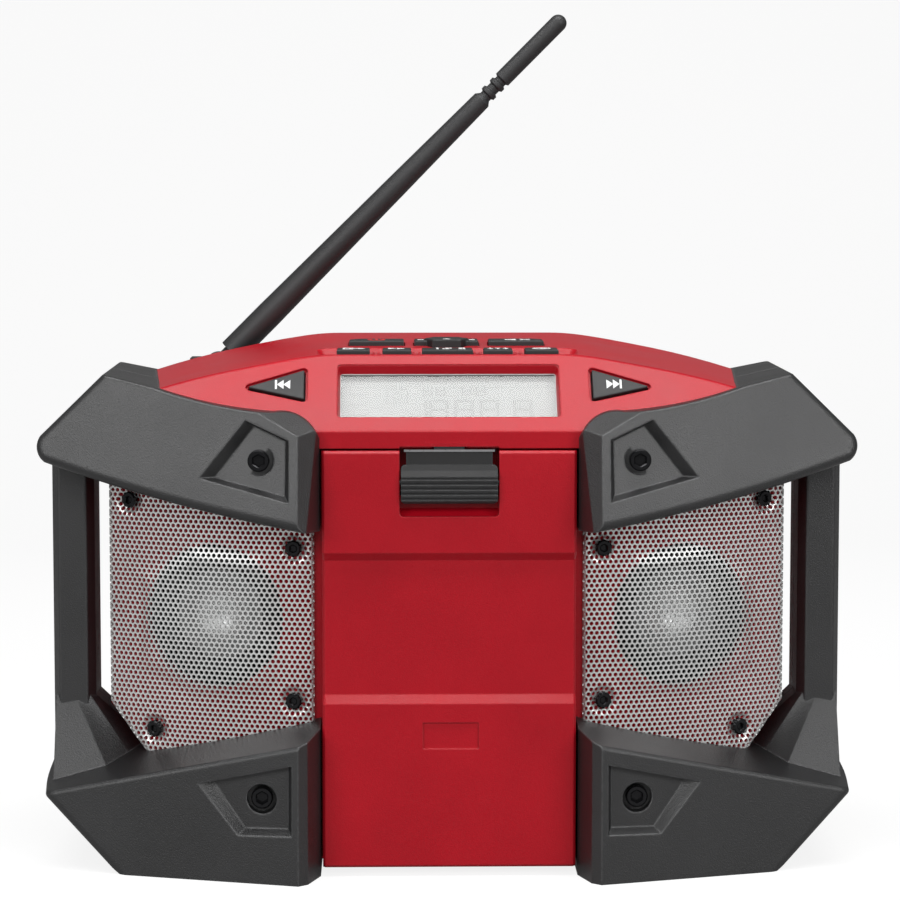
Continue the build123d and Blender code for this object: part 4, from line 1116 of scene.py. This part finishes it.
@dataclass(frozen=True)
class SocketScrew:
    """A black socket screw, whose head may be notched round its edge."""

    head_radius: float
    head_height: float
    shank_radius: float
    shank_length: float
    socket_radius: float
    notches: int = 0
    notch_depth: float = 0.0
    chamfer: float = 0.5
    rim: float = 0.35
    crown_share: float = 0.8
    socket_share: float = 0.6
    steps: int = 60

    def rings(self) -> list[tuple[list[float], float]]:
        """Radii round the screw, and their height over its seat, from the tip to the socket's floor.

        Returns:
            One entry for each ring: its radii, once round, and its height.
        """
        turns = [math.tau * step / self.steps for step in range(self.steps)]
        edge = [self.head_radius - self.notch_depth * (0.5 + 0.5 * math.cos(self.notches * t)) for t in turns]
        half_flat = math.pi / 6
        socket = [self.socket_radius / math.cos((t + half_flat) % (2 * half_flat) - half_flat) for t in turns]
        top = self.head_height
        return [
            ([self.shank_radius] * self.steps, -self.shank_length),
            ([self.shank_radius] * self.steps, 0.0),
            (edge, 0.0),
            (edge, top - self.chamfer),
            ([min(edge) - self.chamfer * self.crown_share] * self.steps, top),
            ([radius + self.rim for radius in socket], top),
            (socket, top - self.rim),
            (socket, top - self.head_height * self.socket_share),
        ]

    def stand(self, mesh: Mesh, seat: Panel) -> None:
        """Add the screw to a bmesh, standing on the middle of its seat.

        Args:
            mesh: The bmesh that the screw goes into.
            seat: Where it stands.
        """
        made = []
        for radii, height in self.rings():
            ring = []
            for step, radius in enumerate(radii):
                turn = math.tau * step / self.steps
                ring.append(mesh.verts.new(seat.at(radius * math.cos(turn), radius * math.sin(turn), height)))
            made.append(ring)
        for low, high in zip(made, made[1:]):
            bridge(mesh, low, high)
        mesh.faces.new(made[0])
        mesh.faces.new(made[-1])


@dataclass
class FrontScrews:
    """The screws seen from the front: eight in the grilles and four in the corner guards."""

    front: SpeakerFront = SpeakerFront()
    grille_screw: SocketScrew = SocketScrew(2.95, 2.0, 1.2, 5.0, 1.0, 10, 0.3)
    guard_screw: SocketScrew = SocketScrew(3.6, 3.4, 2.0, 28.0, 1.75)
    grille_seat: float = 0.8
    guard_seat: float = -49.7
    guard_places: Outline = ((62.8, 140.1), (62.2, 27.9))

    def grille_seats(self) -> list[Panel]:
        """Where the grille screws stand, on both sides.

        Returns:
            One seat for each screw.
        """
        seats = []
        for side in Side:
            for x, z in Grille.screws:
                around = self.front.around(x)
                turn = around / self.front.radius
                spot = self.front.at(around, z, self.grille_seat)
                spot.x *= -side.value
                right = Vector((math.cos(turn), side.value * math.sin(turn), 0))
                seats.append(Panel(spot, right, Vector((0, 0, 1))))
        return seats

    def guard_seats(self) -> list[Panel]:
        """Where the guard screws stand, on both sides."""
        return [
            Panel(Vector((side.value * x, self.guard_seat, z)), up=Vector((0, 0, 1)))
            for side in Side for x, z in self.guard_places
        ]

    def build(self, paints: Paints) -> None:
        """Make each set of screws as one piece.

        Args:
            paints: Where the materials come from.
        """
        for name, screw, seats in (
            ("grille_screws", self.grille_screw, self.grille_seats()),
            ("front_guard_screws", self.guard_screw, self.guard_seats()),
        ):
            mesh = bmesh.new()
            for seat in seats:
                screw.stand(mesh, seat)
            paints.fit(new_piece(f"socket_{name}", mesh), Finish.OXIDE, ROOT, name)


@dataclass
class DisplayFace:
    """The display window's sloping frame, what shows behind the window, two bands of painted shade under the
    window's top edge, and a painted highlight round the window's edge.
    """

    foot: Point = (-45.5, 150.5)
    head: Point = (-24.0, 173.2)
    half_width: float = 37.2
    window: Point = (4.3, 26.9)
    depth: float = -4.8
    lens_top: float = -3.2
    # Height of each band of painted shade under the window's top edge.
    band: float = 2.5
    large_digits: tuple[tuple[str, float], ...] = (
        ("1", -13.6), ("8", -6.6), ("8", 1.9), ("8", 10.4), ("8", 21.6)
    )
    small_digits: tuple[tuple[str, float], ...] = (("8", -8.6), ("8", -4.2), ("8", 4.6), ("8", 9.2))
    large_size: Point = (6.6, 8.6)
    large_foot: float = 6.4
    large_stroke: float = 1.05
    small_size: Point = (3.4, 4.2)
    small_foot: float = 16.6
    small_stroke: float = 0.55
    decimal_point: tuple[Point, Point] = ((18.6, 6.4), (19.7, 7.5))
    emblem_foot: Point = (-20.8, 13.4)
    emblem_size: Point = (7.2, 6.2)
    emblem_line: float = 0.4
    emblem_ring: Point = (1.3, 1.7)
    emblem_turn: float = 340.0
    scale_ends: Point = (-33.6, -27.4)
    scale_levels: tuple[float, ...] = (8.2, 12.6, 17.0)
    scale_line: float = 0.45
    bezel: tuple[float, float, float] = (1.0, 0.9, 1.7)
    bezel_sink: float = 0.15
    lap: float = 0.1
    corner: float = 1.5
    inner_share: float = 0.6
    line: float = 0.3
    figure_rise: float = 0.015
    shade_band_rise: float = 0.05
    shade_band_gap: float = 0.02
    # How far the painted rim highlight stands over the window.
    rim_rise: float = 0.15

    @property
    def panel(self) -> Panel:
        """The slanted face, with its foot in the middle.

        Returns:
            The face as a panel.
        """
        run, rise = self.head[0] - self.foot[0], self.head[1] - self.foot[1]
        up = Vector((0, run, rise)).normalized()
        return Panel(Vector((0, *self.foot)), up=up)

    @property
    def opening(self) -> tuple[Point, float]:
        """Foot and head of what the frame leaves open, and half its width."""
        side, foot, head = self.bezel
        return (self.window[0] + foot, self.window[1] - head), self.half_width - side

    def segments(self) -> list[list[Point]]:
        """Outlines of the unlit segments.

        Returns:
            One outline for each segment.
        """
        bars: list[list[Point]] = []
        for figure, x in self.large_digits:
            bars += digit(figure, (x, self.large_foot), *self.large_size, self.large_stroke)
        for figure, x in self.small_digits:
            bars += digit(figure, (x, self.small_foot), *self.small_size, self.small_stroke)
        bars.append(bar(*self.decimal_point))
        (x, z), (width, height) = self.emblem_foot, self.emblem_size
        bars += hollow_bar((x, z), (x + width, z + height), self.emblem_line)
        bars.append(ring_sector((x + width / 2, z + height / 2), *self.emblem_ring, 0, self.emblem_turn))
        left, right = self.scale_ends
        bars += [bar((left, level), (right, level + self.scale_line)) for level in self.scale_levels]
        return bars

    def frame(self) -> Piece:
        """Make the frame that slopes in from the display face to the window.

        Returns:
            The new piece.
        """
        low, high = self.window
        wide = self.half_width
        outer = rounded((-wide, low), (wide, high), self.corner)
        (low, high), wide = self.opening
        inner = rounded((-wide, low), (wide, high), self.corner * self.inner_share)
        top, foot = self.lens_top + self.lap, self.lens_top - self.lap
        mesh = bmesh.new()
        loops = [
            [mesh.verts.new(self.panel.at(x, z, height)) for x, z in outline]
            for outline, height in ((outer, -self.bezel_sink), (inner, top), (inner, foot), (outer, foot))
        ]
        for first, second in zip(loops, [*loops[1:], loops[0]]):
            bridge(mesh, first, second)
        return new_piece("display_frame", mesh)

    def build(self, paints: Paints) -> None:
        """Make the frame, and lay the segments, the painted shade bands and the painted rim highlight.

        Args:
            paints: Where the materials come from.
        """
        paints.fit(self.frame(), Finish.RED, ROOT)
        (low, high), wide = self.opening
        under, over = self.depth - self.lap, self.depth + self.shade_band_rise
        # Two bands of painted shade under the window's top edge, the deeper one at the top.
        far_shade_band = bar((-wide, high - self.band), (wide, high))
        near_shade_band = bar((-wide, high - 2 * self.band), (wide, high - self.band - self.shade_band_gap))
        # A painted highlight round the window's edge, where its bevel catches the light.
        rim = hollow_bar((-wide, low), (wide, high), self.line)
        strips = (
            ("display_segments", Finish.SEGMENT, self.segments(), under, self.depth + self.figure_rise),
            ("display_far_painted_shade", Finish.FAR_PAINTED_SHADE, [far_shade_band], under, over),
            ("display_near_painted_shade", Finish.NEAR_PAINTED_SHADE, [near_shade_band], under, over),
            ("display_rim_highlight", Finish.RIM, rim, self.lens_top, self.lens_top + self.rim_rise),
        )
        for name, finish, outlines, bottom, top in strips:
            paints.fit(reliefs(name, self.panel, outlines, bottom, top), finish, ROOT)


@dataclass
class ButtonMarks:
    """Plain raised symbols on the buttons."""

    front_row: Point = (-15.0, 174.6)
    back_row: Point = (6.5, 176.3)
    lug_top: Point = (-0.6, 177.0)
    relief: float = 0.12
    sink: float = 0.05
    seek_panel: Panel = field(default_factory=lambda: DisplayFace().panel)
    seek_height: float = 0.3
    seek_centre: Point = (55.2, 18.0)
    seek_bar: Point = (2.1, 2.8)
    seek_heads: Point = (2.1, -0.1)
    seek_half: float = 1.9
    seek_length: float = 2.2

    def top(self, x: float, row: Point) -> Panel:
        """The flat top of a button in a row."""
        return Panel(Vector((x, *row)))

    def lay(
        self, body: str, panel: Panel, outlines: Iterable[Outline], paints: Paints, finish: Finish,
        base: float = 0.0, name: str = "",
    ) -> None:
        """Put one symbol on a button.

        Args:
            body: The button's body.
            panel: Where the symbol lies.
            outlines: Its strokes.
            paints: Where the materials come from.
            finish: The colour of the print.
            base: Height of the button's skin over the panel.
            name: The piece's name, if it isn't the button's name with _mark.
        """
        mark = reliefs(name or f"{body}_mark", panel, outlines, base - self.sink, base + self.relief)
        paints.fit(mark, finish, body)

    def seek_marks(self, paints: Paints) -> None:
        """Two arrowheads against a bar on each seek button.

        Args:
            paints: Where the materials come from.
        """
        for side, body in ((Side.LEFT, "seek_back_button"), (Side.RIGHT, "seek_forward_button")):
            x, z = self.seek_centre
            low, high = z - self.seek_half, z + self.seek_half
            outlines = [bar((x + self.seek_bar[0], low), (x + self.seek_bar[1], high))]
            for head in self.seek_heads:
                tip, back = x + head, x + head - self.seek_length
                outlines.append([(tip, z), (back, high), (back, low)])
            turned = [[(side.value * across, along) for across, along in outline] for outline in outlines]
            self.lay(body, self.seek_panel, turned, paints, Finish.WHITE_MARK, self.seek_height)

    def build(self, paints: Paints) -> None:
        """Mark every button.

        Args:
            paints: Where the materials come from.
        """
        source = [bar((-3.6, -3), (-2.9, 3)), bar((-2.9, 2.2), (0, 3)), bar((-2.9, -3), (0, -2.2))]
        source += [bar((-1.4, -0.4), (1.6, 0.4)), [(1.6, -2), (4, 0), (1.6, 2)]]
        scan = [[(at, -2.6), (at + 2.6, 0), (at, 2.6)] for at in (-3, 0)]
        figures = (("1", -6.2), ("2", -1.7), ("3", 2.9))
        preset = [stroke for figure, at in figures for stroke in digit(figure, (at, -3), 3.2, 6, 0.8)]
        tone = [bar((at - 0.3, -3), (at + 0.3, 3)) for at in (-2.6, 0, 2.6)]
        knobs = ((-2.6, -1.6), (0, 1.0), (2.6, -0.4))
        tone += [bar((at - 0.9, level), (at + 0.9, level + 1.1)) for at, level in knobs]
        clock = [ring_sector((0, 0), 2.5, 3.2, start, start + 180) for start in (0, 180)]
        clock += [bar((-0.3, -0.3), (0.3, 2)), bar((0.3, -0.3), (1.7, 0.3))]
        power = [ring_sector((0, 0), 2.3, 3.1, 125, 415), bar((-0.4, 0.6), (0.4, 4.0))]
        mute = [bar((-3.8, -1.1), (-2.2, 1.1)), [(-2.2, -1.1), (0, -3), (0, 3), (-2.2, 1.1)]]
        mute += [[(1.3, -1.9), (1.9, -2.4), (5.0, 1.9), (4.4, 2.4)]]
        mute += [[(4.4, -2.4), (5.0, -1.9), (1.9, 2.4), (1.3, 1.9)]]
        volume = [bar((-10, -0.5), (-7.9, 0.5)), bar((7.9, -0.5), (10, 0.5))]
        volume += [bar((8.5, 0.5), (9.4, 1.4)), bar((8.5, -1.4), (9.4, -0.5))]
        for body, x, outlines in (
            ("source_button", -32.0, source), ("scan_button", -17.2, scan), ("preset_button", 0.0, preset),
            ("tone_button", 17.2, tone), ("clock_button", 32.0, clock),
        ):
            self.lay(body, self.top(x, self.front_row), outlines, paints, Finish.WHITE_MARK)
        self.lay("power_button", self.top(-24.2, self.back_row), power, paints, Finish.RED_MARK)
        self.lay("mute_button", self.top(24.2, self.back_row), mute, paints, Finish.WHITE_MARK)
        self.lay("volume_rocker", self.top(0.0, self.back_row), volume, paints, Finish.WHITE_MARK)
        arrow = [[(-1.3, -0.7), (1.3, -0.7), (0, 0.9)]]
        lug = self.top(0.0, self.lug_top)
        self.lay("volume_rocker", lug, arrow, paints, Finish.WHITE_MARK, name="volume_arrow")
        self.seek_marks(paints)


@dataclass
class LatchEdgeHighlight:
    """Bright steel strip along the top edge of the latch: partly a catch plate, and partly a painted
    highlight where that edge catches the light.
    """

    half_width: float = 15.0
    front: float = -48.1
    back: float = -46.05
    low: float = 142.6
    high: float = 143.25

    def build(self, paints: Paints) -> None:
        """Make the strip and let it move with the latch.

        Args:
            paints: Where the materials come from.
        """
        panel = Panel(Vector((0, 0, 0)))
        outline = bar((-self.half_width, self.front), (self.half_width, self.back))
        # A bright steel strip that stands in for the latch's top edge catching the light: a painted
        # highlight.
        strip = reliefs("latch_edge_highlight", panel, [outline], self.low, self.high)
        paints.fit(strip, Finish.STEEL, "latch")


@dataclass
class CastParts:
    """Frame nodes whose own shape stays, and the finish that each gets."""

    finishes: dict[Finish, tuple[str, ...]] = field(
        default_factory=lambda: {
            Finish.RED: ("front_housing", "rear_housing", "door"),
            Finish.GUARD: ("left_front_guard", "right_front_guard", "left_rear_guard", "right_rear_guard"),
            Finish.BLACK: (
                "latch", "compartment_liner", "battery_bay", "battery_pack", "battery_tab_left",
                "battery_tab_right", "antenna_bracket", "dc_jack", "aux_jack",
            ),
            Finish.RUBBER: (
                "power_button", "mute_button", "source_button", "scan_button", "preset_button", "tone_button",
                "clock_button", "volume_rocker", "seek_back_button", "seek_forward_button", "keypad",
                "door_seal",
            ),
            Finish.WHIP: ("antenna_whip",),
            Finish.FOAM: ("compartment_pad", "left_speaker_surround", "right_speaker_surround"),
            Finish.BOARD: ("main_board", "power_board"),
            Finish.DISPLAY: ("display_module",),
            Finish.LENS: ("display_lens",),
            Finish.FERRITE: ("left_speaker_magnet", "right_speaker_magnet"),
            Finish.ENAMEL: ("left_speaker_basket", "right_speaker_basket"),
            Finish.OXIDE: ("front_guard_screws", "rear_guard_screws", "antenna_pin", "latch_pin"),
            Finish.STEEL: ("housing_screws", "speaker_screws", "hinge_pin", "latch_spring"),
            Finish.BRASS: ("battery_terminals",),
        }
    )

    def dress(self, paints: Paints, nodes: dict[str, Piece]) -> None:
        """Give every node its finish.

        Args:
            paints: Where the materials come from.
            nodes: The frame's nodes by name.
        """
        for finish, names in self.finishes.items():
            for name in names:
                paints.dress(nodes[name], finish)
                LOG.info("dressed %s in %s", name, finish.value.name)


# ---------------------------------------------------------------------------
# Studio


@dataclass(frozen=True)
class SoftBox:
    """A soft lamp: its name, where it hangs, its width and height, and its power in watts."""

    name: str
    place: tuple[float, float, float]
    size: Point
    power: float


@dataclass
class Studio:
    """Pale floor, soft lamps and the camera."""

    distance: float = 1.0
    height: float = 0.237
    aside: float = -0.020
    pitch: float = 5.0
    focal_pixels: float = 2899.0
    axis_pixel: Point = (446.5, 418.2)
    frame_pixels: float = 900.0
    sensor_mm: float = 36.0
    floor_half: float = 3000.0
    backdrop: float = 1600.0
    backdrop_bend: float = 800.0
    gloss_share: float = 0.13
    world_light: float = 0.18
    floor_tones: Point = (0.2, 0.86)
    floor_glow: float = 1.08
    glow_share: float = 0.78
    paper_roughness: float = 0.9
    aim: tuple[float, float, float] = (0.0, 0.0, 0.09)
    soft_boxes: tuple[SoftBox, ...] = (
        SoftBox("Overhead", (0.0, -0.2, 1.15), (1.3, 0.42), 12.5),
        SoftBox("Left", (-1.0, -1.1, 0.62), (0.6, 0.6), 7.2),
        SoftBox("Right", (1.0, -1.1, 0.62), (0.6, 0.6), 7.2),
        SoftBox("Front", (0.0, -1.6, 0.85), (1.3, 0.5), 6.8),
    )

    def camera(self) -> None:
        """Stand the camera in front of the radio, a little above it."""
        data = bpy.data.cameras.new("Camera")
        data.sensor_width = self.sensor_mm
        data.lens = self.focal_pixels / self.frame_pixels * self.sensor_mm
        middle = self.frame_pixels / 2
        data.shift_x = (middle - self.axis_pixel[0]) / self.frame_pixels
        data.shift_y = (self.axis_pixel[1] - middle) / self.frame_pixels
        data.clip_end = 50
        camera = bpy.data.objects.new("Camera", data)
        bpy.context.scene.collection.objects.link(camera)
        camera.location = (self.aside, -self.distance, self.height)
        turn = math.atan2(self.aside, self.distance)
        camera.rotation_euler = (math.radians(90 - self.pitch), 0, turn)
        bpy.context.scene.camera = camera

    def lamps(self) -> None:
        """Hang the soft boxes, each turned to the radio."""
        for box in self.soft_boxes:
            data = bpy.data.lights.new(box.name, "AREA")
            data.shape = "RECTANGLE"
            data.size, data.size_y = box.size
            data.energy = box.power
            lamp = bpy.data.objects.new(box.name, data)
            bpy.context.scene.collection.objects.link(lamp)
            lamp.location = box.place
            lamp.rotation_euler = (Vector(self.aim) - Vector(box.place)).to_track_quat("-Z", "Y").to_euler()

    def seen_white(self, graph: Graph) -> Socket:
        """How white the surroundings are to a ray: fully to the camera and through glass, less in gloss.

        Args:
            graph: The graph that the nodes go into.

        Returns:
            The socket of the whiteness, from 0 to 1.
        """
        rays = graph.add("ShaderNodeLightPath")
        gloss = graph.maths("MULTIPLY", rays.outputs["Is Glossy Ray"], self.gloss_share)
        direct = graph.maths("MAXIMUM", rays.outputs["Is Camera Ray"], rays.outputs["Is Transmission Ray"])
        return graph.maths("MAXIMUM", direct, gloss)

    def world(self) -> None:
        """White to the camera and through glass, a dim grey in reflections, and a soft grey light otherwise.
        """
        world = bpy.data.worlds.new("Studio")
        world.use_nodes = True
        bpy.context.scene.world = world
        graph = Graph(world.node_tree)
        background = world.node_tree.nodes["Background"]
        background.inputs["Color"].default_value = (1, 1, 1, 1)
        strength = graph.ranged(self.seen_white(graph), 0.0, 1.0, self.world_light, 1.0)
        graph.put(background.inputs["Strength"], strength)

    def floor(self) -> None:
        """Lay a pale floor that runs up into a backdrop."""
        mesh = bmesh.new()
        bend = self.backdrop_bend
        profile = [(-self.floor_half, 0.0), (self.backdrop - bend, 0.0)]
        turns = [math.pi / 2 * step / 12 for step in range(1, 13)]
        profile += [(self.backdrop - bend + bend * math.sin(t), bend - bend * math.cos(t)) for t in turns]
        profile.append((self.backdrop, self.floor_half))
        sides = (-self.floor_half, self.floor_half)
        rows = [[mesh.verts.new((x, y, z)) for x in sides] for y, z in profile]
        for (a, b), (c, d) in zip(rows, rows[1:]):
            mesh.faces.new((a, b, d, c))
        floor = new_piece("studio_floor", mesh, 80)
        material, graph, shader = new_material("Pale paper")
        shader.inputs["Roughness"].default_value = self.paper_roughness
        seen = self.seen_white(graph)
        dim, pale = ((tone, tone, tone, 1) for tone in self.floor_tones)
        graph.put(shader.inputs["Base Color"], graph.mix(seen, dim, pale))
        glow = graph.add("ShaderNodeEmission", None, Strength=self.floor_glow)
        share = graph.maths("MULTIPLY", seen, self.glow_share)
        mixed = graph.add("ShaderNodeMixShader", None, i0=share, i1=shader.outputs[0], i2=glow.outputs[0])
        graph.put(material.node_tree.nodes["Material Output"].inputs["Surface"], mixed.outputs[0])
        floor.data.materials.append(material)

    def build(self) -> None:
        """Set up the whole studio."""
        self.camera()
        self.lamps()
        self.world()
        self.floor()
        bpy.context.scene.view_settings.view_transform = "Standard"


def main() -> None:
    """Build the radio's looks over the frame, piece by piece."""
    logging.basicConfig(level=logging.INFO, format="%(message)s")
    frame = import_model()
    paints = Paints()
    Studio().build()
    CastParts().dress(paints, frame["nodes"])
    for side in Side:
        Grille(side).build(paints)
        Loudspeaker(side).build(paints)
    FrontScrews().build(paints)
    DisplayFace().build(paints)
    ButtonMarks().build(paints)
    LatchEdgeHighlight().build(paints)


if __name__ == "__main__":
    main()
